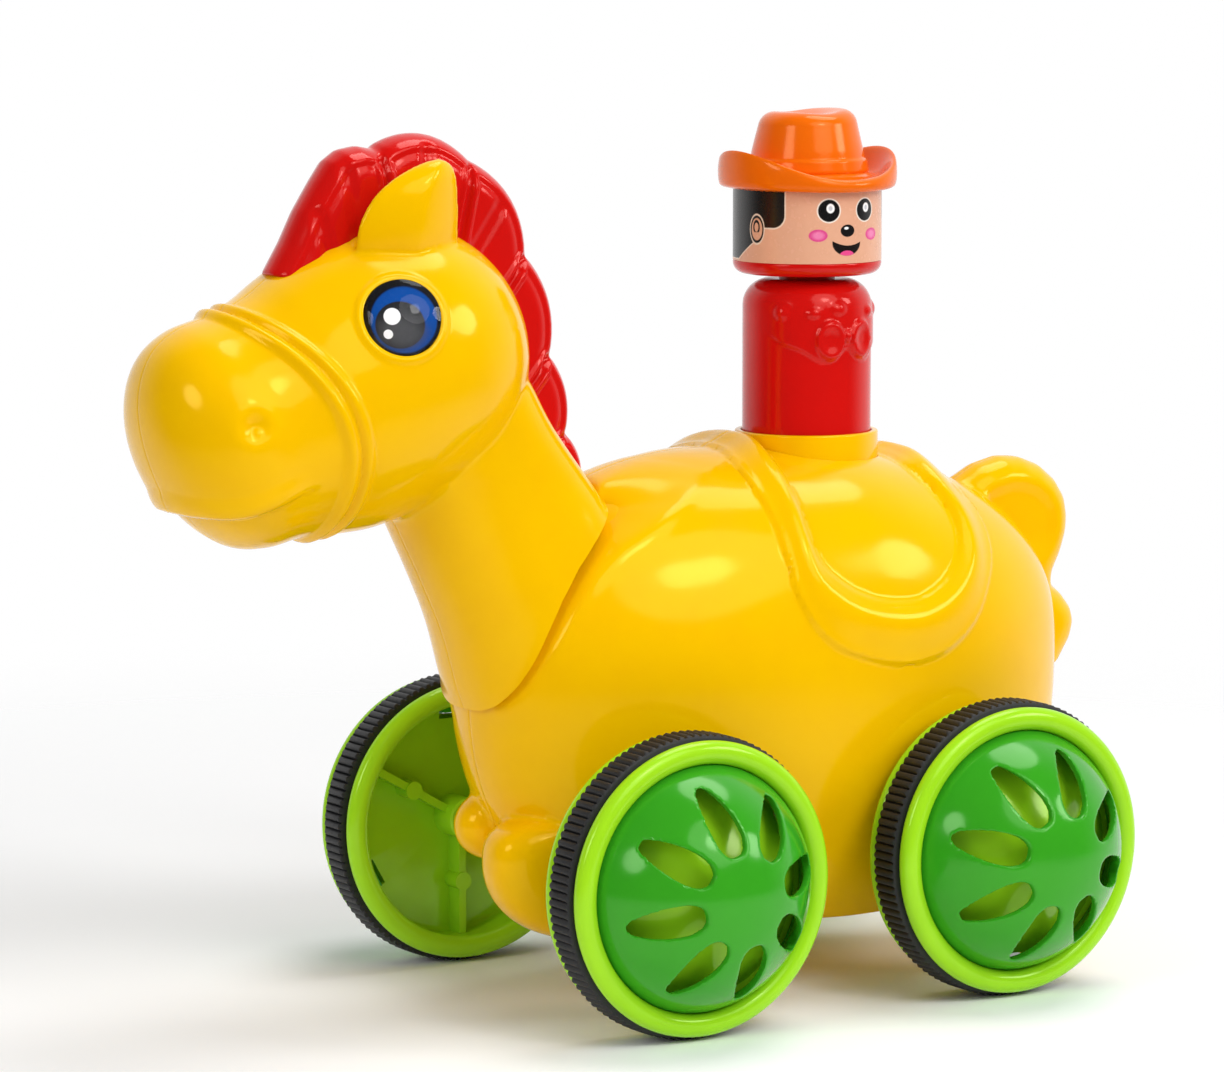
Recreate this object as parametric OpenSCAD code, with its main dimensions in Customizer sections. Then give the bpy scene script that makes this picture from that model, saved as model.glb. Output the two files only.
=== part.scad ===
// Press-and-go toy horse on four wheels, with a rider that is pushed down to drive the rear axle.
// Frame: +X forward (the horse's nose), +Y to its left, +Z up, floor at z = 0. Millimetres.

/* [Wheels] */
// Outside diameter of a tyre, over the tread ribs
wheel_d = 60; // [54:1:66]
// Distance between the front and the rear axle
wheelbase = 76; // [72:1:84]
// Gap between the widest part of the body and a rim's inner face
wheel_gap = 4; // [3.5:0.5:9]
// Width of the tyre band
tyre_w = 7; // [6:0.5:9]
// Thickness of the tyre band, ribs included
tyre_t = 3.4; // [3:0.1:4.5]
// Height of a tread rib
rib_h = 0.9; // [0.5:0.1:1.2]
// Number of tread ribs
tread_ribs = 110; // [80:1:120]
// Wall of the rim drum
rim_wall = 2; // [1.6:0.1:2.5]
// How far a rim flange stops below the tread
flange_drop = 1.3; // [0.8:0.1:2]
// Thickness of the web that closes the rim
web_t = 2; // [1.6:0.1:2.6]
// Height of the hub cap's dome
cap_h = 18.5; // [14:0.5:19]
// Wall of the hub cap
cap_wall = 1.6; // [1.2:0.1:2]
// Number of petal slots in a hub cap
petals = 8; // [6:1:9]
// Diameter of an axle
axle_d = 4; // [3:0.5:5]

/* [Body] */
// Width of the barrel at its widest
body_w = 72; // [66:1:84]
// Height of the top of the back above the floor
back_z = 109; // [104:1:112]
// Height of the flat belly above the floor
belly_z = 14; // [12:1:16]
// How far the rump lies behind the barrel's middle
rump_l = 59; // [56:1:61]
// How far the chest lies in front of the barrel's middle
chest_l = 78; // [75:1:82]
// Wall of the body, neck and head shells
wall = 2; // [1.6:0.1:2.4]
// Width of the rolled edge of the saddle flap
saddle_roll = 8; // [6:0.5:10]

/* [Neck and head] */
// How far the shoulder dome reaches from the nod pivot
dome_r = 40; // [38:0.5:41]
// Width of the shoulder dome
dome_w = 50; // [48:1:53]
// Running gap between the shoulder dome and the neck's collar
collar_gap = 0.8; // [0.5:0.1:1.2]
// How far the neck can nod back, in degrees
nod_range = 7; // [3:1:8]
// Diameter of the nod pivot pin
nod_pin_d = 4; // [3:0.5:5]
// Length of the head from the back of the skull to the nose
head_l = 83.5; // [80:0.5:88]
// Height of the skull
skull_h = 56; // [52:1:58]
// Width of the skull
skull_w = 49; // [46:1:52]
// Diameter of an eye
eye_d = 15; // [12:0.5:16]
// Thickness of the mane
mane_w = 13; // [11:0.5:15]

/* [Rider] */
// Diameter of the rider's body
rider_d = 26.4; // [24:0.2:28]
// Height of the rider's shoulders above the collar
rider_h = 31; // [29:0.5:34]
// How far the rider can be pressed down
press_travel = 22; // [16:1:24]
// Diameter of the rider's head
face_d = 30.4; // [28:0.2:33]
// Height of the rider's head
face_h = 19; // [17:0.5:22]
// Diameter of the hat's brim
brim_d = 37; // [35:0.5:40]
// Height of the hat's crown
crown_h = 14.5; // [12:0.5:16]
// Wall of the rider's body
rider_wall = 1.8; // [1.4:0.1:2.2]

/* [Drive] */
// Gear module
gear_m = 1; // [0.9:0.05:1.05]
// Teeth of the pinion that the rack turns
pinion_teeth = 12; // [11:1:13]
// Teeth of the large wheel beside that pinion
wheel_teeth = 28; // [26:1:29]
// Teeth of the swing gear
swing_teeth = 14; // [13:1:15]
// Teeth of the gear on the rear axle
axle_teeth = 12; // [11:1:13]
// Face width of a gear
gear_w = 4; // [3:0.5:4.5]
// Diameter of a gear shaft
shaft_d = 2.5; // [2:0.25:3]
// Wire of the return spring
wire_d = 1.2; // [1:0.1:1.4]
// Turns of the return spring
spring_turns = 9; // [7:1:10]

/* [Fasteners] */
// Shank diameter of a self-tapping screw
screw_d = 2.6; // [2.2:0.1:3]
// Diameter of a screw's head
screw_head_d = 5; // [4.6:0.1:5.4]

/* [Hidden] */

// Clearances: a turning fit, a sliding fit and a seated joint
turn_fit = 0.05;
slide_fit = 0.1;
seat_gap = 0.15;
big = 400;

// Places along the horse
axle_z = wheel_d / 2;
front_x = 16;
rear_x = front_x - wheelbase;
barrel_x = -38;
barrel_z = 66;
rider_x = -41.5;
nod_x = 3;
nod_z = 66;

// Wheel sections, measured outwards from a rim's inner face
rim_gap = body_w + 2 * wheel_gap;
flange_r = wheel_d / 2 - flange_drop;
seat_r = wheel_d / 2 - tyre_t;
drum_r = seat_r - rim_wall;
flange_t = 0.8;
bead_z = flange_t + tyre_w;
cap_r = drum_r + 0.2;
bead_r = (flange_r - cap_r - seat_gap) / 2;
bead_step = 0.5;
web_z = bead_z + bead_step - web_t;
web_top = web_z + web_t;
hub_r = axle_d / 2 + 2.4;
hub_in = 0.8;
cap_ball = (cap_r * cap_r + cap_h * cap_h) / (2 * cap_h);
tab_r = drum_r - 2.2;
tab_w = 5;

// Axle bearings in the body
boss_r = axle_d / 2 + 3;
boss_y = rim_gap / 2 - hub_in - 0.5;
axle_l = rim_gap + 2 * web_top + 3;

// Rider levels at rest
collar_z = back_z + 3;
collar_r = rider_d / 2 + 2.6;
rider_low = collar_z - 9;
shoulder_z = collar_z + rider_h;
hollow_top = shoulder_z - 6;
guide_floor = rider_low - press_travel - 3;
guide_r = rider_d / 2 + slide_fit;
face_z = shoulder_z + 1;
hat_z = face_z + face_h;
lug_z = guide_floor + 8;
lug_y = collar_r + 2.5;
lug_r = 4;
lug_pin_r = 1.5;
neck_r = 5.75;
plug_r = 4.5;
wrap_t = 0.4;

// Gear train: the rack turns the pinion, the large wheel turns the swing gear
pinion_r = gear_m * pinion_teeth / 2;
wheel_r = gear_m * wheel_teeth / 2;
swing_r = gear_m * swing_teeth / 2;
axle_gear_r = gear_m * axle_teeth / 2;
rack_line = rider_x - 5;
drive_x = rack_line - pinion_r;
drive_z = guide_floor - 1.5 - wheel_r - gear_m;
free_gap = 0.4;
drive_to_swing = wheel_r + swing_r;
swing_to_axle = swing_r + axle_gear_r + 2 * gear_m + free_gap;
drive_to_axle = norm([rear_x - drive_x, axle_z - drive_z]);
along = (pow(drive_to_swing, 2) - pow(swing_to_axle, 2) + pow(drive_to_axle, 2)) / (2 * drive_to_axle);
aside = sqrt(max(0.01, pow(drive_to_swing, 2) - along * along));
line_x = (rear_x - drive_x) / drive_to_axle;
line_z = (axle_z - drive_z) / drive_to_axle;
swing_x = drive_x + along * line_x - aside * line_z;
swing_z = drive_z + along * line_z + aside * line_x;
swing_dir = atan2(swing_z - drive_z, swing_x - drive_x);
rack_half = 3.5;
gear_y = rack_half + 1;
gear_out = gear_y + gear_w;
plate_t = 2;
plate_left = gear_out + 1.5;
plate_right = -rack_half - 1.5;
rack_low = drive_z - 5;
rack_high = drive_z + press_travel + 6;
pillars = [[drive_x - 18, drive_z - 11], [rider_x + 10, drive_z - 8], [swing_x + 6, axle_z - 6]];

// Return spring between the guide's floor and the inside of the rider
spring_low = guide_floor + 2;
spring_high = hollow_top;
spring_r = plug_r + 2 + 2.1;

// Neck and head places
collar_in = dome_r + collar_gap;
collar_out = collar_in + wall;
collar_half = dome_w / 2 + collar_gap;
head_x = 53;
head_z = 132;
head_tilt = 21.8;
arm_a = [41, 103];
arm_b = [45, 118];
muzzle_screw = [88, 119];
arm_half = 4;
arm_dir = atan2(arm_a[1] - nod_z, arm_a[0] - nod_x);
eye_at = [66, 21, 141];
eye_dir = [0.36, 0.88, 0.3];

// Places of the screws that join the body halves, and how deep their heads sit
body_screw_at = [[-83, 52], [-16, 38], [26, 47], [-9, 92]];
screw_seat = 9;

// A rounded profile: 1 in the middle, 0 at both ends
function arc_of(u, p) = pow(max(0, 1 - pow(abs(u), p)), 1 / p);

// Barrel of the body: half width and half heights at a station
function barrel_u(x, inset) = (x - barrel_x) / ((x < barrel_x ? rump_l : chest_l) - inset);
function barrel_half(x, inset) =
    (body_w / 2 - inset) * arc_of(barrel_u(x, inset), x < barrel_x ? 2.6 : 2.3);
function barrel_up(x, inset) =
    (back_z - barrel_z - inset) * arc_of(barrel_u(x, inset), x < barrel_x ? 2.5 : 3);
function barrel_down(x, inset) =
    (barrel_z - belly_z + 8 - inset) * arc_of(barrel_u(x, inset), x < barrel_x ? 2.8 : 2.6);
function barrel_p(x) = 2.4 - 0.4 * min(1, max(0, (x - barrel_x) / 40));
function barrel_y(x, z) =
    let (h = z > barrel_z ? barrel_up(x, 0) : barrel_down(x, 0))
    barrel_half(x, 0) * arc_of((z - barrel_z) / h, barrel_p(x));
function barrel_reach(x, a, inset) =
    let (w = barrel_half(x, inset), p = barrel_p(x),
        h = cos(a) > 0 ? barrel_up(x, inset) : barrel_down(x, inset))
    w < 0.2 || h < 0.2 ? 0.2 : pow(pow(sin(a) / w, p) + pow(abs(cos(a)) / h, p), -1 / p);

// Shoulder dome: a lens turned about the nod axis
function lens_half(rho, r, half) = half * arc_of(rho / r, 2.6);
function in_dome(x, y, z, inset) =
    abs(y) < lens_half(norm([x - nod_x, z - nod_z]), dome_r - inset, dome_w / 2 - inset)
    && norm([x - nod_x, z - nod_z]) < dome_r - inset;
function dome_reach(x, a, inset, lo = 0, hi = 90, n = 18) =
    n == 0 ? lo
    : let (mid = (lo + hi) / 2, inside = in_dome(x, mid * sin(a), barrel_z + mid * cos(a), inset))
    dome_reach(x, a, inset, inside ? mid : lo, inside ? hi : mid, n - 1);

// Front legs: an egg on each side of the chest
leg_at = [24, 7, 31];
leg_size = [15.5, 10.5, 19];
function leg_reach(x, a, inset) =
    let (k = 1 - pow((x - leg_at[0]) / (leg_size[0] - inset), 2))
    k <= 0 ? 0
    : let (ry = (leg_size[1] - inset) * sqrt(k), rz = (leg_size[2] - inset) * sqrt(k),
        dy = sin(a) / ry, dz = cos(a) / rz, oy = -leg_at[1] / ry, oz = (barrel_z - leg_at[2]) / rz,
        qa = dy * dy + dz * dz, qb = oy * dy + oz * dz, qc = oy * oy + oz * oz - 1, d = qb * qb - qa * qc)
    d <= 0 ? 0 : (-qb + sqrt(d)) / qa;

function body_reach(x, a, inset) =
    let (r = max(barrel_reach(x, a, inset), dome_reach(x, a, inset), leg_reach(x, a, inset)),
        floor_z = belly_z + inset)
    barrel_z + r * cos(a) < floor_z ? (barrel_z - floor_z) / -cos(a) : r;

// Half rings of the body from rump to chest, top to bottom
body_n = 24;
body_m = 30;
function body_rings(inset) = [for (i = [0 : body_m])
    let (back = barrel_x - rump_l + inset + 0.3, front = nod_x + dome_r - inset - 0.3,
        x = back + (front - back) * (1 - cos(180 * i / body_m)) / 2)
    [for (j = [0 : body_n]) let (a = 180 * j / body_n, r = body_reach(x, a, inset))
        [x, r * sin(a), barrel_z + r * cos(a)]]];

// A closed solid from rings of equal length
module skin(rings, loop = false) {
    n = len(rings[0]);
    m = len(rings);
    sides = [for (i = [0 : m - (loop ? 1 : 2)], j = [0 : n - 1])
        let (k = (j + 1) % n, i2 = (i + 1) % m, a = i * n + j, b = i * n + k, c = i2 * n + j, d = i2 * n + k)
        each [[a, b, d], [a, d, c]]];
    first = [for (j = [1 : n - 2]) [0, j + 1, j]];
    last = [for (j = [1 : n - 2]) [(m - 1) * n, (m - 1) * n + j, (m - 1) * n + j + 1]];
    polyhedron([for (r = rings) each r], loop ? sides : concat(sides, first, last), convexity = 6);
}

// A closed half shell from outer and inner half rings that end on the middle plane
module half_shell(outer, inner) {
    n = len(outer[0]);
    m = len(outer);
    q = n * m;
    out = [for (i = [0 : m - 2], j = [0 : n - 2]) let (a = i * n + j, c = a + n)
        each [[a, a + 1, c + 1], [a, c + 1, c]]];
    in = [for (f = out) [f[0] + q, f[2] + q, f[1] + q]];
    top = [for (i = [0 : m - 2]) let (a = i * n, c = a + n) each [[a, c, c + q], [a, c + q, a + q]]];
    low = [for (i = [0 : m - 2]) let (a = i * n + n - 1, c = a + n)
        each [[a, c + q, c], [a, a + q, c + q]]];
    e = (m - 1) * n;
    caps = [for (j = [1 : n - 2]) each [[0, j + 1, j], [e, e + j, e + j + 1],
        [q, q + j, q + j + 1], [e + q, e + q + j + 1, e + q + j]]];
    ends = [[0, q, n - 1], [q, q + n - 1, n - 1], [e, e + n - 1, e + q], [e + q, e + n - 1, e + q + n - 1]];
    polyhedron([for (r = concat(outer, inner)) each r], concat(out, in, top, low, caps, ends), convexity = 6);
}

// A cylinder along the Y axis between two levels
module y_rod(x, z, r, from, to, fn = 32) {
    translate([x, from, z])
        rotate([-90, 0, 0])
            cylinder(r = r, h = to - from, $fn = fn);
}

// Tail: half of a curled tuft, [x, z, half width, half thickness]
tail_path = [[-79, 92, 6, 6], [-88, 94.5, 8, 7], [-96.5, 92.5, 9.5, 8.5], [-101, 85.5, 9.5, 8.5],
    [-98.5, 77.5, 8, 6.5], [-100, 70.5, 8.5, 7.5], [-103, 65, 7.5, 6.5], [-105.5, 61, 3, 2.5]];
function path_turn(p, i) =
    let (a = p[max(0, i - 1)], b = p[min(len(p) - 1, i + 1)]) atan2(b[1] - a[1], b[0] - a[0]);
module tail_half() {
    skin([for (i = [0 : len(tail_path) - 1]) let (p = tail_path[i], t = path_turn(tail_path, i) + 90)
        [for (j = [0 : 10]) let (a = 18 * j)
            [p[0] + p[3] * cos(a) * cos(t), p[2] * sin(a), p[1] + p[3] * cos(a) * sin(t)]]]);
}

// Rolled edge of the saddle flap: a ridge that crosses the back twice and hangs down the side
saddle_x = -43;
saddle_half_l = 26;
saddle_drop = 58;
saddle_rise = 2;
saddle_turn = 40;
module saddle_half() {
    skin([for (i = [0 : 20]) let (t = 9 * i, x = saddle_half_l * cos(t), s = saddle_drop * sin(t),
        slope = [cos(t) / saddle_half_l, sin(t) / saddle_drop], n = slope / norm(slope))
        [for (j = [0 : 7]) let (b = 45 * j, q = cos(b) * saddle_roll / 2,
            px = saddle_x + x + q * n[0], a = max(0, s + q * n[1]) / saddle_turn * 180 / PI,
            r = body_reach(px, a, 0) + sin(b) * (sin(b) > 0 ? saddle_rise : wall * 0.7))
            [px, r * sin(a), barrel_z + r * cos(a)]]]);
}

// A flat outline in the side view, given as X and Z, thickened along Y
module side_plate(from, to) {
    translate([0, to, 0])
        rotate([90, 0, 0])
            linear_extrude(to - from)
                children();
}

// Post from a middle gap into the shell's side wall
function wall_y(x, z) = max(barrel_y(x, z), lens_half(norm([x - nod_x, z - nod_z]), dome_r, dome_w / 2));
module side_post(x, z, r, from) {
    reach = min([for (p = [[-r, -r], [-r, r], [r, -r], [r, r]]) wall_y(x + p[0], z + p[1])]);
    y_rod(x, z, r, from, reach - wall / 2);
}

// Opening in the shoulder dome for the nodding arm, seen from the side
slot_low = arm_dir - 9;
slot_high = arm_dir + 9 + nod_range;
module arm_slot() {
    polygon([for (p = [[30, slot_low], [60, slot_low], [60, slot_high], [30, slot_high]])
        [nod_x + p[0] * cos(p[1]), nod_z + p[0] * sin(p[1])]]);
}

// Left half of the body; the right half is its mirror image apart from the gearbox seats
module body_half(gearbox_face) {
    difference() {
        union() {
            half_shell(body_rings(0), body_rings(wall));
            tail_half();
            saddle_half();
            for (p = body_screw_at)
                side_post(p[0], p[1], screw_d / 2 + 2, 0);
            for (p = pillars)
                side_post(p[0], p[1], screw_head_d / 2 + 2.4, gearbox_face);
            side_post(nod_x, nod_z, nod_pin_d / 2 + 2.5, arm_half + 0.4);
            for (x = [front_x, rear_x])
                y_rod(x, axle_z, boss_r, barrel_y(x, axle_z) - 6, boss_y);
            side_post(rider_x, lug_z, lug_r, lug_y);
            y_rod(rider_x, lug_z, lug_pin_r, lug_y - 2.4, lug_y + 1);
        }
        translate([rider_x, 0, back_z - 20])
            rotate(50)
                cylinder(r = collar_r + seat_gap, h = big, $fn = 64);
        for (p = pillars)
            y_rod(p[0], p[1], screw_head_d / 2 + 0.4, gearbox_face - 1, gearbox_face + 4);
        y_rod(nod_x, nod_z, nod_pin_d / 2, 0, arm_half + 12);
        for (x = [front_x, rear_x])
            y_rod(x, axle_z, axle_d / 2 + turn_fit, 0, rim_gap);
        side_plate(-1, arm_half + 0.6)
            arm_slot();
    }
}

// Round collar with the rider's guide bore, held between the halves by a lug on each side
module saddle_collar() {
    color("#f7c200")
        difference() {
            union() {
                translate([rider_x, 0, guide_floor])
                    cylinder(r = collar_r, h = collar_z - guide_floor, $fn = 64);
                y_rod(rider_x, lug_z, lug_r, -lug_y, lug_y);
            }
            translate([rider_x, 0, guide_floor + 2])
                cylinder(r = guide_r, h = big, $fn = 64);
            translate([rack_line - gear_m - 0.6, -rack_half - 0.6, guide_floor - 1])
                cube([rider_x + 5 - rack_line + gear_m + 1, 2 * rack_half + 1.2, 4]);
            for (y = [-lug_y - 1, lug_y - 2.4])
                y_rod(rider_x, lug_z, lug_pin_r, y, y + 3.4);
        }
}

module body_left_shell() {
    color("#f7c200")
        difference() {
            body_half(plate_left + plate_t);
            for (p = body_screw_at)
                y_rod(p[0], p[1], screw_d / 2, -1, 14);
        }
}

module body_right_shell() {
    color("#f7c200")
        difference() {
            mirror([0, 1, 0])
                body_half(-plate_right + plate_t);
            for (p = body_screw_at) {
                y_rod(p[0], p[1], screw_d / 2 + slide_fit, -big / 2, 1);
                y_rod(p[0], p[1], screw_head_d / 2 + 0.3, -big / 2, -screw_seat);
            }
        }
}

// Screws that join the halves, put in from the right
module tapping_screw(x, z, seat, tip) {
    y_rod(x, z, screw_d / 2, -seat - 0.01, tip);
    y_rod(x, z, screw_head_d / 2, -seat - 1.8, -seat);
}

module body_screws() {
    color("#b9bcc0")
        for (p = body_screw_at)
            tapping_screw(p[0], p[1], screw_seat, 12);
}

module nod_pin() {
    color("#b9bcc0")
        y_rod(nod_x, nod_z, nod_pin_d / 2, -arm_half - 11.8, arm_half + 11.8);
}

// Head stations along its own axis: share of the length, half height, half width, lift of the middle
head_form = [[0, 0.1, 0.1, 0], [0.035, 0.43, 0.44, 0], [0.11, 0.72, 0.74, 0], [0.22, 0.92, 0.92, 0],
    [0.34, 0.99, 0.99, 0], [0.45, 1, 1, -0.3], [0.56, 0.95, 0.96, -0.5], [0.615, 0.9, 0.92, -0.3],
    [0.635, 0.95, 0.98, 0], [0.665, 0.96, 0.985, 0], [0.69, 0.94, 0.965, 0.3], [0.705, 0.85, 0.875, 0.6],
    [0.75, 0.84, 0.85, 1.2], [0.82, 0.84, 0.85, 1.6], [0.89, 0.77, 0.78, 2], [0.945, 0.6, 0.62, 2.5],
    [0.985, 0.34, 0.36, 2.8], [1, 0.1, 0.1, 3]];
function head_at(s, y, t) =
    [head_x + s * cos(head_tilt) + t * sin(head_tilt), y, head_z - s * sin(head_tilt) + t * cos(head_tilt)];
module head_half(inset) {
    skin([for (f = head_form)
        let (s = (f[0] - 0.29) * (head_l - 2 * inset), h = max(0.6, f[1] * skull_h / 2 - inset),
            w = max(0.6, f[2] * skull_w / 2 - inset))
        [for (j = [0 : 18]) let (a = 10 * j) head_at(s, w * sin(a), f[3] + h * cos(a))]]);
}

// Lower jaw, a half egg under the muzzle
module jaw_half() {
    skin([for (i = [0 : 8]) let (a = 11.25 + 19.6875 * i, k = sin(a))
        [for (j = [0 : 10]) let (b = 18 * j)
            head_at(42 - 12 * cos(a), 14 * k * sin(b), -13 + 7.5 * k * cos(b))]]);
}

// Neck stations in the side view: front point, back point and half width
neck_form = [[[66, 122], [32, 130], 17], [[61, 110], [26, 119], 16.5], [[55.5, 99], [19.5, 110], 16.5],
    [[50, 86], [15, 105.5], 17.5], [[45, 74], [14, 99], 18]];
module neck_half(inset) {
    skin([for (f = neck_form)
        let (mid = (f[0] + f[1]) / 2, half = norm(f[0] - f[1]) / 2 - inset,
            dir = (f[0] - f[1]) / norm(f[0] - f[1]))
        [for (j = [0 : 16]) let (a = 11.25 * j)
            [mid[0] + dir[0] * half * cos(a), (f[2] - inset) * sin(a), mid[1] + dir[1] * half * cos(a)]]]);
}

// Half of a lens about the nod axis
module lens(r, half) {
    translate([nod_x, 0, nod_z])
        rotate([-90, 0, 0])
            rotate_extrude($fn = 96)
                polygon(concat([[0, 0]], [for (i = [0 : 14]) let (rho = r * sin(90 * (14 - i) / 14))
                    [rho, lens_half(rho, r, half)]]));
}

// Side view of the collar that laps over the shoulder dome
module collar_outline() {
    polygon([[9, 116], [18.3, 100.7], [26.8, 88.9], [34.6, 73.7], [38.8, 65.8], [40.9, 63.3], [43.5, 62],
        [70, 61.5], [70, 116]]);
}

// Left ear, a leaning leaf: level, middle, half length, half thickness
ear_form = [[150, 60, 13.5, 11, 5.5], [156, 60, 15, 10.5, 4.6], [161.5, 58.5, 16, 8.4, 4],
    [166, 56.6, 16.4, 5, 3], [169.5, 54.8, 16.6, 1.4, 1.2]];
module ear() {
    skin([for (f = ear_form)
        [for (j = [0 : 11]) let (a = -30 * j) [f[1] + f[3] * cos(a), f[2] + f[4] * sin(a), f[0]]]]);
}

// Turns a solid that stands on the XY plane to the left eye's place and direction
module at_eye() {
    translate(eye_at)
        rotate([0, 0, atan2(eye_dir[1], eye_dir[0])])
            rotate([0, acos(eye_dir[2] / norm(eye_dir)), 0])
                children();
}

mane_pegs = [[50, 158, 0], [27, 122, 75]];
module mane_peg(p, r, l) {
    translate([p[0], 0, p[1]])
        rotate([0, p[2], 0])
            translate([0, 0, -6])
                cylinder(r = r, h = l, $fn = 32);
}

module head_posts(r, from) {
    y_rod(arm_a[0], arm_a[1], r, from, 15.2);
    y_rod(arm_b[0], arm_b[1], r, from, 17.3);
    y_rod(muzzle_screw[0], muzzle_screw[1], r, 0, skull_w * 0.4);
}

module head_half_shell() {
    difference() {
        union() {
            difference() {
                union() {
                    head_half(0);
                    jaw_half();
                    neck_half(0);
                    intersection() {
                        lens(collar_out, collar_half + wall);
                        side_plate(0, big)
                            collar_outline();
                    }
                    ear();
                }
                head_half(wall);
                neck_half(wall);
            }
            head_posts(screw_d / 2 + 2, arm_half);
        }
        lens(collar_in, collar_half);
        at_eye()
            translate([0, 0, -8])
                cylinder(r = eye_d / 2 + seat_gap, h = 30, $fn = 64);
        for (p = mane_pegs)
            mane_peg(p, 2 + slide_fit, 16);
    }
}

module head_left_shell() {
    color("#f7c200")
        difference() {
            head_half_shell();
            for (p = [arm_a, arm_b, muzzle_screw])
                y_rod(p[0], p[1], screw_d / 2, -1, 12);
        }
}

module head_right_shell() {
    color("#f7c200")
        difference() {
            mirror([0, 1, 0])
                head_half_shell();
            for (p = [arm_a, arm_b, muzzle_screw]) {
                y_rod(p[0], p[1], screw_d / 2 + slide_fit, -big / 2, 1);
                y_rod(p[0], p[1], screw_head_d / 2 + 0.3, -big / 2, -screw_seat);
            }
        }
}

module head_screws() {
    color("#b9bcc0")
        for (p = [arm_a, arm_b, muzzle_screw])
            tapping_screw(p[0], p[1], screw_seat, 11);
}

// Arm that carries the neck through the slot in the dome
module nod_arm() {
    color("#e8e8e4")
        difference() {
            side_plate(-arm_half, arm_half)
                union() {
                    hull() {
                        translate([nod_x, nod_z])
                            circle(r = nod_pin_d / 2 + 4, $fn = 48);
                        translate(arm_a)
                            circle(r = screw_d / 2 + 3.4, $fn = 48);
                    }
                    hull() {
                        translate(arm_a)
                            circle(r = screw_d / 2 + 3.4, $fn = 48);
                        translate(arm_b)
                            circle(r = screw_d / 2 + 3.4, $fn = 48);
                    }
                }
            y_rod(nod_x, nod_z, nod_pin_d / 2 + turn_fit, -big / 2, big / 2);
            for (p = [arm_a, arm_b])
                y_rod(p[0], p[1], screw_d / 2 + slide_fit, -big / 2, big / 2);
        }
}

// Mane: notches between its locks, front to back, and the bulge of each lock
mane_notch = [[82, 148.5], [61, 172], [41, 168], [29, 149], [23.5, 130], [20, 114], [16, 106.5]];
mane_bulge = [3.5, 3.8, 3.6, 2.8, 2.2, 1];
mane_root = [[24, 108], [32, 128], [40, 146], [56, 156], [76, 150]];
module mane_outline() {
    polygon(concat(mane_notch, mane_root));
    for (i = [0 : len(mane_bulge) - 1])
        let (a = mane_notch[i], b = mane_notch[i + 1], c = norm(b - a), h = mane_bulge[i],
            r = (c * c / 4 + h * h) / (2 * h), n = [(b - a)[1], -(b - a)[0]] / c)
            intersection() {
                translate((a + b) / 2 + n * (h - r))
                    circle(r = r, $fn = 64);
                translate((a + b) / 2)
                    circle(r = c / 2 + 0.01, $fn = 64);
            }
}

module mane() {
    color("#d8141a")
        union() {
            difference() {
                side_plate(-mane_w / 2, mane_w / 2)
                    mane_outline();
                for (m = [0, 1])
                    mirror([0, m, 0]) {
                        head_half(-seat_gap);
                        neck_half(-seat_gap);
                    }
            }
            for (p = mane_pegs)
                mane_peg(p, 2, 15);
        }
}

module left_eye() {
    color("#0b55b5")
        at_eye()
            translate([0, 0, -6])
                cylinder(r = eye_d / 2, h = 6.2, $fn = 64);
}

module right_eye() {
    mirror([0, 1, 0])
        left_eye();
}

// Clear dome over the printed eye
lens_h = 2;
lens_ball = (eye_d * eye_d / 4 + lens_h * lens_h) / (2 * lens_h);
module left_eye_lens() {
    color("#dfe9f5")
        at_eye()
            intersection() {
                translate([0, 0, 0.2 + lens_h - lens_ball])
                    sphere(r = lens_ball, $fn = 96);
                translate([0, 0, 0.2])
                    cylinder(r = eye_d, h = 10);
            }
}

module right_eye_lens() {
    mirror([0, 1, 0])
        left_eye_lens();
}

// Rider: a hollow round peg that slides in the saddle's collar
module rider_body() {
    color("#d8141a")
        translate([rider_x, 0, 0])
            difference() {
                union() {
                    rotate_extrude($fn = 96)
                        peg_section();
                    translate([0, 0, shoulder_z - 1])
                        cylinder(r = neck_r, h = 5, $fn = 48);
                }
                difference() {
                    translate([0, 0, rider_low - 1])
                        cylinder(r = rider_d / 2 - rider_wall, h = hollow_top - rider_low + 1, $fn = 64);
                    translate([0, 0, rider_low + 14])
                        cylinder(r = plug_r + 2, h = big, $fn = 48);
                }
                translate([0, 0, rider_low])
                    cylinder(r = plug_r, h = hollow_top - rider_low - 1, $fn = 48);
            }
}

// Half section of the peg: a straight side with a rounded shoulder
shoulder_r = 5.5;
module peg_section() {
    side = rider_d / 2;
    polygon(concat([[0, rider_low], [side, rider_low]],
        [for (i = [0 : 8]) let (a = 90 * i / 8)
            [side - shoulder_r + shoulder_r * cos(a), shoulder_z - shoulder_r + shoulder_r * sin(a)]],
        [[0, shoulder_z]]));
}

module rider_head() {
    color("#d8141a")
        translate([rider_x, 0, face_z])
            difference() {
                rotate_extrude($fn = 96)
                    polygon(concat([[0, 0]],
                        [for (i = [0 : 6]) let (a = -90 + 90 * i / 6)
                            [face_d / 2 - 2.4 + 2.4 * cos(a), 2.4 + 2.4 * sin(a)]],
                        [[face_d / 2, wrap_low], [face_d / 2 - wrap_t, wrap_low],
                        [face_d / 2 - wrap_t, face_h], [0, face_h]]));
                translate([0, 0, -1])
                    cylinder(r = neck_r, h = 4, $fn = 48);
            }
}

// Printed wrap around the rider's head
wrap_low = 2.8;
module face_wrap() {
    color("#f0b898")
        translate([rider_x, 0, face_z + wrap_low])
            difference() {
                cylinder(r = face_d / 2, h = face_h - wrap_low, $fn = 96);
                translate([0, 0, -1])
                    cylinder(r = face_d / 2 - wrap_t, h = face_h, $fn = 96);
            }
}

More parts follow.
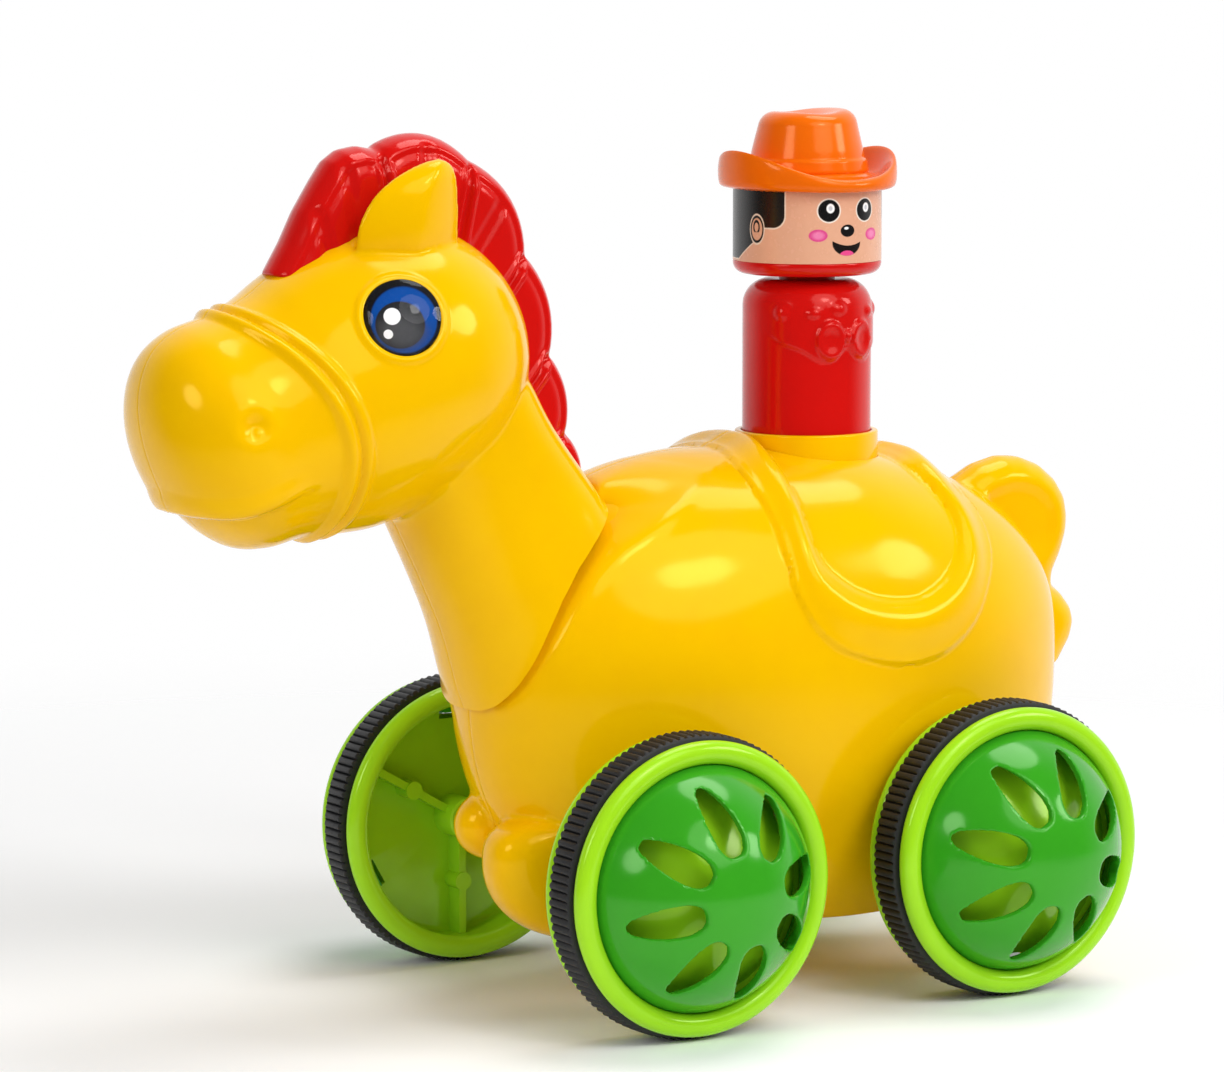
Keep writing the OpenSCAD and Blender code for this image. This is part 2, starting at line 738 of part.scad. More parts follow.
// Hat: a creased crown on a brim whose sides curl up
brim_t = 2;
brim_curl = 4.5;
module hat() {
    color("#f5731a")
        translate([rider_x, 0, hat_z])
            union() {
                rotate_extrude($fn = 64)
                    polygon([[0, 0], [face_d / 2 - 2, 0], [face_d / 2 - 2.4, 2],
                        [face_d / 2 - 4, crown_h * 0.6], [face_d / 2 - 5.6, crown_h * 0.9],
                        [face_d / 2 - 8, crown_h], [3.5, crown_h * 0.94], [0, crown_h * 0.9]]);
                brim();
            }
}

// Height of the brim's curl at an angle from the front, at a share of the way out
function brim_lift(a, k) = brim_curl * pow(abs(cos(a)), 3) * k * k;
module brim() {
    inner = face_d / 2 - 6;
    n = 36;
    skin([for (i = [0 : n - 1]) let (a = 360 * i / n)
        [for (q = [[0, 0], [0.5, 0], [0.8, 0], [1, 0.3], [1, 0.7], [0.8, 1], [0.5, 1], [0, 1]])
            let (r = inner + q[0] * (brim_d / 2 - inner))
            [r * cos(a), r * sin(a), q[1] * brim_t + brim_lift(a, q[0])]]],
        true);
}

// Outline of a toothed wheel, tooth zero pointing along X
function involute(base, r) = let (t = sqrt(max(0, r * r / base / base - 1))) t * 180 / PI - atan(t);
gear_play = 0.12;
function polar(p) = [p[0] * cos(p[1]), p[0] * sin(p[1])];
module gear_outline(teeth) {
    rp = gear_m * teeth / 2;
    base = rp * cos(20);
    low = rp - 1.2 * gear_m;
    tip = rp + 0.95 * gear_m;
    half = 90 / teeth - gear_play / rp * 90 / PI + involute(base, rp);
    start = max(base, low + 0.1);
    flank = [for (i = [0 : 4]) start + (tip - start) * i / 4];
    polygon([for (k = [0 : teeth - 1]) let (mid = 360 * k / teeth)
        each concat([polar([low, mid - half - 1])],
            [for (r = flank) polar([r, mid - half + involute(base, r)])],
            [for (i = [4 : -1 : 0]) polar([flank[i], mid + half - involute(base, flank[i])])],
            [polar([low, mid + half + 1])])]);
}

// Compound gear: the pinion on the rack and the large wheel beside it
module drive_gear() {
    color("#e8e8e4")
        difference() {
            union() {
                translate([drive_x, 0, drive_z]) {
                    side_plate(-rack_half, gear_y)
                        gear_outline(pinion_teeth);
                    side_plate(gear_y, gear_out)
                        rotate(swing_dir)
                            gear_outline(wheel_teeth);
                }
                y_rod(drive_x, drive_z, shaft_d / 2 + 1.6, plate_right + 0.5, plate_left - 0.5);
            }
            y_rod(drive_x, drive_z, shaft_d / 2 + turn_fit, -big / 2, big / 2);
        }
}

module swing_gear() {
    color("#e8e8e4")
        difference() {
            union() {
                translate([swing_x, 0, swing_z])
                    side_plate(gear_y, gear_out)
                        rotate(swing_dir + 180 + 180 / swing_teeth)
                            gear_outline(swing_teeth);
                y_rod(swing_x, swing_z, shaft_d / 2 + 1.6, gear_y, plate_left - 0.5);
            }
            y_rod(swing_x, swing_z, shaft_d / 2 + turn_fit, -big / 2, big / 2);
        }
}

module axle_gear() {
    color("#e8e8e4")
        difference() {
            union() {
                translate([rear_x, 0, axle_z])
                    side_plate(gear_y, gear_out)
                        gear_outline(axle_teeth);
                y_rod(rear_x, axle_z, axle_d / 2 + 1.8, plate_right + 0.5, plate_left - 0.5);
            }
            y_rod(rear_x, axle_z, axle_d / 2, -big / 2, big / 2);
        }
}

module drive_shaft() {
    color("#b9bcc0")
        y_rod(drive_x, drive_z, shaft_d / 2, plate_right - plate_t, plate_left + plate_t);
}

module swing_shaft() {
    color("#b9bcc0")
        y_rod(swing_x, swing_z, shaft_d / 2, plate_right - plate_t, plate_left + plate_t);
}

// Side view of a gearbox plate, with the arc that the swing shaft can move along
module plate_outline() {
    hull()
        for (p = concat(pillars, [[drive_x, drive_z], [rear_x, axle_z], [swing_x, swing_z]]))
            translate(p)
                circle(r = 5.5, $fn = 48);
}

swing_step = 4;
module plate_holes() {
    y_rod(drive_x, drive_z, shaft_d / 2, -big / 2, big / 2);
    y_rod(rear_x, axle_z, axle_d / 2 + 0.4, -big / 2, big / 2);
    for (i = [0 : 3])
        let (a = swing_dir - swing_step * i / 3)
            y_rod(drive_x + drive_to_swing * cos(a), drive_z + drive_to_swing * sin(a), shaft_d / 2,
                -big / 2, big / 2);
}

module gearbox_left_plate() {
    color("#3c4046")
        difference() {
            side_plate(plate_left, plate_left + plate_t)
                plate_outline();
            plate_holes();
            for (p = pillars)
                y_rod(p[0], p[1], screw_d / 2 + slide_fit, -big / 2, big / 2);
        }
}

module gearbox_right_plate() {
    color("#3c4046")
        difference() {
            union() {
                side_plate(plate_right - plate_t, plate_right)
                    plate_outline();
                for (p = pillars)
                    y_rod(p[0], p[1], screw_d / 2 + 1.6, plate_right - 0.5, plate_left);
            }
            plate_holes();
            for (p = pillars)
                y_rod(p[0], p[1], screw_d / 2, plate_left - 9, plate_left + 1);
        }
}

module gearbox_screws() {
    color("#b9bcc0")
        for (p = pillars) {
            y_rod(p[0], p[1], screw_d / 2, plate_left - 8, plate_left + plate_t + 0.01);
            y_rod(p[0], p[1], screw_head_d / 2, plate_left + plate_t, plate_left + plate_t + 1.8);
        }
}

// Toothed stem under the rider
module press_rack() {
    pitch = PI * gear_m;
    color("#e8e8e4")
        union() {
            side_plate(-rack_half, rack_half)
                union() {
                    translate([rack_line + 1.2 * gear_m, rack_low])
                        square([rider_x + 4.5 - rack_line - 1.2 * gear_m, rider_low + 14 - rack_low]);
                    for (k = [0 : floor((rack_high - rack_low) / pitch) - 1])
                        let (z = drive_z + (k - 1 + 0.5) * pitch, w = pitch / 4 - gear_play / 2, t = tan(20))
                            polygon([[rack_line + 1.3 * gear_m, z - w - 1.2 * gear_m * t],
                                [rack_line - 0.95 * gear_m, z - w + 0.95 * gear_m * t],
                                [rack_line - 0.95 * gear_m, z + w - 0.95 * gear_m * t],
                                [rack_line + 1.3 * gear_m, z + w + 1.2 * gear_m * t]]);
                }
            translate([rider_x, 0, rider_low + 13])
                cylinder(r = plug_r, h = hollow_top - rider_low - 15, $fn = 48);
        }
}

// Return spring: one helical wire with short straight ends
module return_spring() {
    low = spring_low + wire_d / 2;
    high = spring_high - wire_d / 2;
    n = spring_turns * 8;
    tilt = atan2((high - low) / spring_turns, 2 * PI * spring_r);
    mids = [for (i = [0 : n]) [spring_r * cos(45 * i), spring_r * sin(45 * i), low + (high - low) * i / n]];
    ring = function (c, a, t) [for (j = [0 : 5]) let (b = 60 * j, q = wire_d / 2)
        c + [cos(a) * q * cos(b) + sin(a) * sin(t) * q * sin(b),
            sin(a) * q * cos(b) - cos(a) * sin(t) * q * sin(b), cos(t) * q * sin(b)]];
    echo(spring_self_gap = (high - low) / spring_turns - wire_d);
    color("#b9bcc0")
        translate([rider_x, 0, 0])
            skin(concat([ring(mids[0] - [0, wire_d, 0], 0, 0)],
                [for (i = [0 : n]) ring(mids[i], 45 * i, i == 0 || i == n ? 0 : tilt)],
                [ring(mids[n] + wire_d * [-sin(45 * n), cos(45 * n), 0], 45 * n, 0)]));
}

// Rim: drum with flanges, rounded outer bead, web, hub, three ribs and three snap windows
module rim() {
    color("#9adb2c")
        difference() {
            union() {
                rotate_extrude($fn = 96)
                    union() {
                        translate([drum_r, 0])
                            square([rim_wall, bead_z + bead_step]);
                        translate([drum_r, 0])
                            square([flange_r - drum_r, flange_t]);
                        translate([cap_r + seat_gap, bead_z])
                            square([2 * bead_r, bead_step]);
                        intersection() {
                            translate([cap_r + seat_gap + bead_r, bead_z + bead_step])
                                circle(r = bead_r, $fn = 48);
                            translate([drum_r, bead_z])
                                square([big, big]);
                        }
                        translate([0, web_z])
                            square([drum_r + 0.1, web_t]);
                        translate([0, -hub_in])
                            square([hub_r, web_z + hub_in + 0.5]);
                    }
                for (i = [0 : 2])
                    rotate(120 * i + 90) {
                        translate([hub_r - 0.5, -0.8, 2])
                            cube([drum_r - hub_r + 1, 1.6, web_z - 1.5]);
                        translate([drum_r * 0.55, 0, 1.5])
                            cylinder(r = 1.9, h = web_z - 1, $fn = 32);
                    }
            }
            translate([0, 0, -big / 2])
                cylinder(r = axle_d / 2, h = big, $fn = 48);
            for (i = [0 : 2])
                rotate(120 * i + 30)
                    translate([tab_r - 2.2, -tab_w / 2 - 0.5, web_z - 1])
                        cube([4, tab_w + 1, web_t + 2]);
        }
}

// Tyre band with cross ribs
module tyre() {
    n = tread_ribs;
    color("#1d1d1f")
        translate([0, 0, flange_t])
            linear_extrude(tyre_w)
                difference() {
                    polygon([for (i = [0 : n - 1], q = [[-0.34, rib_h], [-0.2, 0], [0.2, 0], [0.34, rib_h]])
                        polar([wheel_d / 2 - q[1], 360 * (i + q[0]) / n])]);
                    circle(r = seat_r, $fn = 96);
                }
}

// Outline of a petal slot: round inside, pointed outside
module petal() {
    r_in = cap_r * 0.36;
    r_out = cap_r * 0.87;
    wide = cap_r * 0.125;
    edge = [for (i = [0 : 12]) let (t = i / 12) [r_in + (r_out - r_in) * t, wide * sin(180 * pow(t, 0.75))]];
    polygon(concat(edge, [for (i = [11 : -1 : 1]) [edge[i][0], -edge[i][1]]]));
}

// Domed hub cap with petal slots and three snap tabs
module cap(phase) {
    color("#2f9e2f")
        translate([0, 0, web_top])
            union() {
                difference() {
                    translate([0, 0, cap_h - cap_ball])
                        sphere(r = cap_ball, $fn = 96);
                    translate([0, 0, cap_h - cap_ball])
                        sphere(r = cap_ball - cap_wall, $fn = 96);
                    translate([-big / 2, -big / 2, -big])
                        cube([big, big, big]);
                    for (i = [0 : petals - 1])
                        rotate(phase + 360 * i / petals)
                            linear_extrude(big)
                                petal();
                }
                for (i = [0 : 2])
                    rotate(120 * i + 30)
                        translate([tab_r - 0.6, -tab_w / 2, -web_t - 1.4])
                            cube([1.8, tab_w, web_t + 3.4]);
            }
}

// Turns a wheel part from its own axis to a corner of the horse; side is 1 left, -1 right
module at_wheel(x, side, turn = 0) {
    translate([x, side * rim_gap / 2, axle_z])
        rotate([side * -90, 0, 0])
            rotate(turn)
                children();
}

module front_axle() {
    color("#b9bcc0")
        y_rod(front_x, axle_z, axle_d / 2, -axle_l / 2, axle_l / 2);
}

module rear_axle() {
    color("#b9bcc0")
        y_rod(rear_x, axle_z, axle_d / 2, -axle_l / 2, axle_l / 2);
}

module front_left_rim() {
    at_wheel(front_x, 1)
        rim();
}

module front_right_rim() {
    at_wheel(front_x, -1)
        rim();
}

module rear_left_rim() {
    at_wheel(rear_x, 1)
        rim();
}

module rear_right_rim() {
    at_wheel(rear_x, -1)
        rim();
}

module front_left_tyre() {
    at_wheel(front_x, 1)
        tyre();
}

module front_right_tyre() {
    at_wheel(front_x, -1)
        tyre();
}

module rear_left_tyre() {
    at_wheel(rear_x, 1)
        tyre();
}

module rear_right_tyre() {
    at_wheel(rear_x, -1)
        tyre();
}

module front_left_cap() {
    at_wheel(front_x, 1)
        cap(-14);
}

module front_right_cap() {
    at_wheel(front_x, -1)
        cap(-14);
}

module rear_left_cap() {
    at_wheel(rear_x, 1)
        cap(-6);
}

module rear_right_cap() {
    at_wheel(rear_x, -1)
        cap(-6);
}

body_left_shell();
body_right_shell();
body_screws();
saddle_collar();
nod_pin();
gearbox_left_plate();
gearbox_right_plate();
gearbox_screws();
drive_shaft();
swing_shaft();
return_spring();
head_left_shell();
head_right_shell();
head_screws();
nod_arm();
mane();
left_eye();
right_eye();
left_eye_lens();
right_eye_lens();
rider_body();
rider_head();
face_wrap();
hat();
press_rack();
drive_gear();
swing_gear();
axle_gear();
front_axle();
rear_axle();
front_left_rim();
front_right_rim();
rear_left_rim();
rear_right_rim();
front_left_tyre();
front_right_tyre();
rear_left_tyre();
rear_right_tyre();
front_left_cap();
front_right_cap();
rear_left_cap();
rear_right_cap();
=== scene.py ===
import math

import bmesh
import bpy
from mathutils import Matrix, Vector


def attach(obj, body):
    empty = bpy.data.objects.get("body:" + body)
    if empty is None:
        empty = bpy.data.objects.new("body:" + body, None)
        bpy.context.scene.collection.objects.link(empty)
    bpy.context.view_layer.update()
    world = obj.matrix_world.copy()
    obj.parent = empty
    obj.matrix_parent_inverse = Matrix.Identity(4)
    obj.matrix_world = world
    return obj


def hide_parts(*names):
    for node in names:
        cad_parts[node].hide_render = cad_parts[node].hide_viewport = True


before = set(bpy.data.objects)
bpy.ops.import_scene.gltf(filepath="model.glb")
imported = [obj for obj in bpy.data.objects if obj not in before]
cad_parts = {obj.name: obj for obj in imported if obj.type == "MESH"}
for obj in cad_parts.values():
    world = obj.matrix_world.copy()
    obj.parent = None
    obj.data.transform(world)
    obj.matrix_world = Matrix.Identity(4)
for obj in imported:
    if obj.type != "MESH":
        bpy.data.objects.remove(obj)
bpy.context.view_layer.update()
scene = bpy.context.scene
scene.view_settings.view_transform = "Standard"
mm = 0.001
print("frame loaded,", len(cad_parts), "nodes")

# the photograph's view, for an image of 1224 x 1072
view = {"stand": (0.5526, 0.8694, 0.2229), "look": (0.00562, 0, 0.09285), "lens": 151.5, "sensor": 36}


def addObject(name, data):
    thing = bpy.data.objects.new(name, data)
    scene.collection.objects.link(thing)
    return thing


def aim(thing, stand, look):
    thing.location = stand
    thing.rotation_euler = (Vector(look) - Vector(stand)).to_track_quat("-Z", "Y").to_euler()


camera = addObject("camera", bpy.data.cameras.new("camera"))
camera.data.lens = view["lens"]
camera.data.sensor_width = view["sensor"]
camera.data.sensor_fit = "HORIZONTAL"
aim(camera, view["stand"], view["look"])
scene.camera = camera


# curves and bumps, in millimetres

def arc(u, power):
    return max(0.0, 1 - abs(u) ** power) ** (1 / power)


def ease(low, high, x):
    t = min(1.0, max(0.0, (x - low) / (high - low)))
    return t * t * (3 - 2 * t)


def hump(x, half):
    return max(0.0, 1 - (x / half) ** 2) ** 2


def along(rows, u):
    # smooth curve through rows whose first number rises
    last = len(rows) - 1
    if u <= rows[0][0]:
        return rows[0][1:]
    if u >= rows[last][0]:
        return rows[last][1:]
    i = next(k for k in range(last) if u <= rows[k + 1][0])
    a, b = rows[i], rows[i + 1]
    before, after = rows[max(0, i - 1)], rows[min(last, i + 2)]
    step = b[0] - a[0]
    t = (u - a[0]) / step
    out = []
    for k in range(1, len(a)):
        leave = (b[k] - before[k]) / (b[0] - before[0]) * step
        arrive = (after[k] - a[k]) / (after[0] - a[0]) * step
        out.append((2 * t ** 3 - 3 * t * t + 1) * a[k] + (t ** 3 - 2 * t * t + t) * leave
                   + (3 * t * t - 2 * t ** 3) * b[k] + (t ** 3 - t * t) * arrive)
    return out


def fromLines(x, z, lines):
    # distance of a point in the side view from the nearest of some lines
    near = math.inf
    for (ax, az), (bx, bz) in lines:
        dx, dz = bx - ax, bz - az
        t = min(1.0, max(0.0, ((x - ax) * dx + (z - az) * dz) / (dx * dx + dz * dz)))
        near = min(near, math.hypot(x - ax - t * dx, z - az - t * dz))
    return near


# mesh tools

def scratch(bm):
    mesh = bpy.data.meshes.new("scratch")
    bm.to_mesh(mesh)
    bm.free()
    return addObject("scratch", mesh)


def discard(form):
    mesh = form.data
    bpy.data.objects.remove(form)
    bpy.data.meshes.remove(mesh)


def settle(form):
    # the form with its modifiers applied, as a new bmesh
    ready = form.evaluated_get(bpy.context.evaluated_depsgraph_get())
    bm = bmesh.new()
    bm.from_mesh(ready.to_mesh())
    ready.to_mesh_clear()
    discard(form)
    bm.normal_update()
    return bm


def fuse(bm, cell, rounds):
    # overlapping forms become one skin, softened as a polished mould is
    form = scratch(bm)
    skin = form.modifiers.new("skin", "REMESH")
    skin.mode = "VOXEL"
    skin.voxel_size = cell * mm
    soft = form.modifiers.new("soft", "SMOOTH")
    soft.factor = 0.5
    soft.iterations = rounds
    return settle(form)


def carve(bm, tool, operation="DIFFERENCE"):
    form, cutter = scratch(bm), scratch(tool)
    step = form.modifiers.new("carve", "BOOLEAN")
    step.operation = operation
    step.solver = "MANIFOLD"
    step.object = cutter
    done = settle(form)
    discard(cutter)
    return done


def soften(bm, verts, rounds):
    for k in range(rounds):
        bmesh.ops.smooth_vert(bm, verts=verts, factor=0.5, use_axis_x=True, use_axis_y=True, use_axis_z=True)


def ball(bm, around, rings, place):
    # a sphere with every point sent to its place, t from pole to pole and a around
    for v in bmesh.ops.create_uvsphere(bm, u_segments=around, v_segments=rings, radius=1)["verts"]:
        t = math.acos(max(-1.0, min(1.0, v.co.z))) / math.pi
        v.co = Vector(place(t, math.atan2(v.co.y, v.co.x))) * mm


def shaped(around, rings, place):
    # such a form by itself, facing out
    bm = bmesh.new()
    ball(bm, around, rings, place)
    bmesh.ops.recalc_face_normals(bm, faces=bm.faces)
    return bm


def rod(bm, start, end, radius, around=48):
    axis = Vector(end) - Vector(start)
    turn = axis.to_track_quat("Z", "Y").to_matrix().to_4x4()
    bmesh.ops.create_cone(bm, cap_ends=True, segments=around, radius1=radius * mm, radius2=radius * mm,
                          depth=axis.length * mm,
                          matrix=Matrix.Translation((Vector(start) + Vector(end)) / 2 * mm) @ turn)


def block(bm, turn, centre, size):
    # a box, turned about the Z axis with its place
    bmesh.ops.create_cube(bm, size=mm, matrix=Matrix.Rotation(math.radians(turn), 4, "Z")
                          @ Matrix.Translation(Vector(centre) * mm) @ Matrix.Diagonal((*size, 1)))


def pull(bm, face, by):
    # a face drawn out into a solid
    grown = bmesh.ops.extrude_face_region(bm, geom=[face])["geom"]
    bmesh.ops.translate(bm, verts=[g for g in grown if isinstance(g, bmesh.types.BMVert)], vec=by)


def plate(bm, outline, low, high):
    # a flat outline in the side view with its thickness
    face = bm.faces.new([bm.verts.new(Vector((x, low, z)) * mm) for x, z in outline])
    pull(bm, face, (0, (high - low) * mm, 0))
    bmesh.ops.recalc_face_normals(bm, faces=bm.faces)


def roundTurn(cx, cz, r, start, end, steps=8, tall=None):
    # points of an arc in a section, its height given where it is not round
    turns = [math.radians(start + (end - start) * k / steps) for k in range(steps + 1)]
    return [(cx + r * math.cos(a), cz + (tall or r) * math.sin(a)) for a in turns]


def lathe(bm, section, steps):
    # a section of radius and height spun round the Z axis
    verts = [bm.verts.new(Vector((r, 0, z)) * mm) for r, z in section]
    edges = [bm.edges.new(pair) for pair in zip(verts, verts[1:])]
    bmesh.ops.spin(bm, geom=verts + edges, cent=(0, 0, 0), axis=(0, 0, 1), angle=2 * math.pi, steps=steps,
                   use_merge=True)
    bmesh.ops.remove_doubles(bm, verts=bm.verts, dist=1e-7)
    bmesh.ops.recalc_face_normals(bm, faces=bm.faces)


def joinIn(bm, other):
    mesh = bpy.data.meshes.new("joined")
    other.to_mesh(mesh)
    other.free()
    bm.from_mesh(mesh)
    bpy.data.meshes.remove(mesh)


def rounded(bm, outline, reach):
    # thins a flat form towards its outline, so that its edge is round
    for v in bm.verts:
        far = fromLines(v.co.x / mm, v.co.z / mm, outline)
        v.co.y *= math.sqrt(max(0.02, 1 - max(0, 1 - far / reach) ** 2))


def emboss(bm, height):
    # moves every point out along its normal by the height (mm) at its place
    bm.normal_update()
    lifts = [(v, v.normal * height(v.co / mm, v.normal) * mm) for v in bm.verts]
    for v, lift in lifts:
        v.co += lift
    bm.normal_update()


def seamHalf(outer, inner, side, groove):
    # one half of a hollow moulding: skin and inner wall cut at the middle and joined along the seam
    bm = outer.copy()
    for part in (bm, inner):
        bmesh.ops.bisect_plane(part, geom=part.verts[:] + part.edges[:] + part.faces[:], dist=1e-7,
                               plane_co=(0, 0, 0), plane_no=(0, -side, 0), clear_outer=True)
        part.normal_update()
        rim = {v for e in part.edges if e.is_boundary for v in e.verts}
        for v in rim:
            if part is bm:
                v.co -= v.normal * groove * mm
            v.co.y = side * 0.02 * mm
    bmesh.ops.reverse_faces(inner, faces=inner.faces)
    joinIn(bm, inner)
    bmesh.ops.triangle_fill(bm, use_beauty=False, edges=[e for e in bm.edges if e.is_boundary],
                            normal=(0, -side, 0))
    bmesh.ops.recalc_face_normals(bm, faces=[f for f in bm.faces if abs(f.normal.y) > 0.99])
    return bm


def flip(bm):
    # the other side's twin
    twin = bm.copy()
    bmesh.ops.scale(twin, vec=(1, -1, 1), verts=twin.verts)
    bmesh.ops.reverse_faces(twin, faces=twin.faces)
    return twin


def tell(name, bm):
    print(name, len(bm.faces), "faces, open edges", sum(e.is_boundary for e in bm.edges))


def makePiece(name, bm, material, body, node, sharp=None):
    mesh = bpy.data.meshes.new(name)
    bm.to_mesh(mesh)
    bm.free()
    mesh.materials.append(material)
    mesh.shade_smooth()
    if sharp:
        mesh.set_sharp_from_angle(angle=math.radians(sharp))
    piece = addObject(name, mesh)
    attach(piece, body)
    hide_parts(node)
    print(name, len(mesh.polygons), "faces")


# materials

def linear(hexColour):
    parts = [int(hexColour[i:i + 2], 16) / 255 for i in (1, 3, 5)]
    return [c / 12.92 if c <= 0.04045 else ((c + 0.055) / 1.055) ** 2.4 for c in parts] + [1]


def addNode(tree, kind, inputs=(), **settings):
    node = tree.nodes.new("ShaderNode" + kind)
    for key, value in settings.items():
        setattr(node, key, value)
    for key, value in dict(inputs).items():
        if isinstance(value, bpy.types.NodeSocket):
            tree.links.new(value, node.inputs[key])
        else:
            node.inputs[key].default_value = value
    return node


def newMaterial(name):
    material = bpy.data.materials.new(name)
    material.use_nodes = True
    tree = material.node_tree
    return material, tree, tree.nodes["Principled BSDF"]


def surface(name, look):
    # two tones in patches, and a skin with its own grain; one of the two sets the gloss
    look = {"shine": "#FFFFFF", "span": (0, 1), "strength": 1.0, "metal": 0.0, **look}
    material, tree, shader = newMaterial(name)
    place = addNode(tree, "TexCoord").outputs["Object"]
    noise = {}
    for key in ("patch", "grain"):
        size, detail, rough = look[key]
        noise[key] = addNode(tree, "TexNoise", {
            "Vector": place, "Scale": 1 / (size * mm), "Detail": detail, "Roughness": rough}).outputs["Fac"]
    tone = addNode(tree, "Mix", {
        0: noise["patch"], 6: linear(look["colour"]), 7: linear(look["deeper"])}, data_type="RGBA")
    dull = addNode(tree, "MapRange", {
        "Value": noise[look["dulledBy"]], "From Min": look["span"][0], "From Max": look["span"][1],
        "To Min": look["gloss"][0], "To Max": look["gloss"][1]})
    skin = addNode(tree, "Bump", {
        "Height": noise["grain"], "Distance": look["deepMm"] * mm, "Strength": look["strength"]})
    tree.links.new(tone.outputs[2], shader.inputs["Base Color"])
    tree.links.new(dull.outputs["Result"], shader.inputs["Roughness"])
    tree.links.new(skin.outputs["Normal"], shader.inputs["Normal"])
    shader.inputs["IOR"].default_value = 1.5
    shader.inputs["Metallic"].default_value = look["metal"]
    shader.inputs["Specular Tint"].default_value = linear(look["shine"])
    return material


def mouldedPlastic(name, colour, deeper, shine, gloss, waveMm, deepMm, rubMm):
    # injection-moulded plastic: one pigment all through, a polished mould's gloss with a slightly wavy
    # skin where the wall shrank, and rubbed patches that are a touch duller
    return surface(name, {
        "colour": colour, "deeper": deeper, "shine": shine, "gloss": gloss, "patch": (rubMm, 4.0, 0.6),
        "grain": (waveMm, 1.0, 0.4), "span": (0.35, 0.7), "dulledBy": "patch", "deepMm": deepMm})


# ABS of the outside and acetal of the gears, rack and plates: pigment, its rubbed tone, tint of the shine,
# range of the gloss, length and depth of the skin's waves, size of the rubbed patches
plastics = {
    "yellowAbs": ("#FAC300", "#F6BA00", "#FFDC70", (0.1, 0.16), 14, 0.03, 9),
    "redAbs": ("#D5130F", "#CB0F0C", "#FFB4AA", (0.1, 0.18), 12, 0.03, 8),
    "orangeAbs": ("#F4700A", "#EE6704", "#FFC896", (0.12, 0.2), 10, 0.02, 7),
    "limeAbs": ("#A4E022", "#9AD81A", "#E8FFB0", (0.12, 0.2), 10, 0.02, 7),
    "greenAbs": ("#38A020", "#31971A", "#CFF5C0", (0.1, 0.18), 12, 0.02, 8),
    "whiteAcetal": ("#EFEDE6", "#E8E5DC", "#FFFFFF", (0.3, 0.42), 8, 0.02, 5),
    "greyAcetal": ("#8C8F92", "#83868A", "#FFFFFF", (0.3, 0.42), 8, 0.02, 5),
}
yellowPlastic, redPlastic, orangePlastic, limePlastic, greenPlastic, whiteAcetal, greyAcetal = (
    mouldedPlastic(name, *look) for name, look in plastics.items())
# synthetic rubber: near black, matt, a fine grain, paler where dust stays in it
blackRubber = surface("tyreRubber", {
    "colour": "#121214", "deeper": "#1C1C1E", "gloss": (0.45, 0.68), "patch": (6, 4.0, 0.5),
    "grain": (0.6, 3.0, 0.5), "dulledBy": "grain", "deepMm": 0.03, "strength": 0.6})
# zinc-plated steel of screws, shafts and the spring: bright, with fine drawing marks
platedSteel = surface("zincSteel", {
    "colour": "#B9BCC0", "deeper": "#9EA2A8", "gloss": (0.22, 0.38), "patch": (0.4, 2.0, 0.5),
    "grain": (0.4, 2.0, 0.5), "dulledBy": "grain", "deepMm": 0.0, "strength": 0.0, "metal": 1.0})


def ovalReach(tree, place, x, y, wide, high):
    # distance from an oval's middle, 1 at its edge
    offset = addNode(tree, "VectorMath", {0: place, 1: (x, y, 0)}, operation="SUBTRACT")
    share = addNode(tree, "VectorMath", {0: offset.outputs[0], 1: (wide, high, 1)}, operation="DIVIDE")
    return addNode(tree, "VectorMath", {0: share.outputs[0]}, operation="LENGTH").outputs["Value"]


def printInk(tree, under, hexColour, *limits):
    # ink where every distance is within its edge, each with the edge's softness
    mask = None
    for far, edge, soft in limits:
        inside = addNode(tree, "MapRange", {
            "Value": far, "From Min": edge - soft, "From Max": edge + soft, "To Min": 1.0, "To Max": 0.0},
            interpolation_type="SMOOTHSTEP").outputs["Result"]
        if mask is None:
            mask = inside
        else:
            mask = addNode(tree, "Math", {0: mask, 1: inside}, operation="MULTIPLY").outputs[0]
    return addNode(tree, "Mix", {0: mask, 6: under, 7: linear(hexColour)}, data_type="RGBA").outputs[2]


def printOvals(tree, place, under, rows):
    for *form, soft, hexColour in rows:
        under = printInk(tree, under, hexColour, (ovalReach(tree, place, *form), 1.0, soft))
    return under


def printGround(tree, shader, look):
    # the film's own colour with the print's fine dots, under a clear varnish
    place = addNode(tree, "TexCoord").outputs["Object"]
    dots = addNode(tree, "TexNoise", {
        "Vector": place, "Scale": 1 / (look["dotMm"] * mm), "Detail": 2.0}).outputs["Fac"]
    gloss = addNode(tree, "MapRange", {
        "Value": dots, "To Min": look["gloss"][0], "To Max": look["gloss"][1]})
    tree.links.new(gloss.outputs["Result"], shader.inputs["Roughness"])
    first, second = look["ground"]
    tone = addNode(tree, "Mix", {0: dots, 6: linear(first), 7: linear(second)}, data_type="RGBA")
    return tone.outputs[2]


print("plain materials ready")

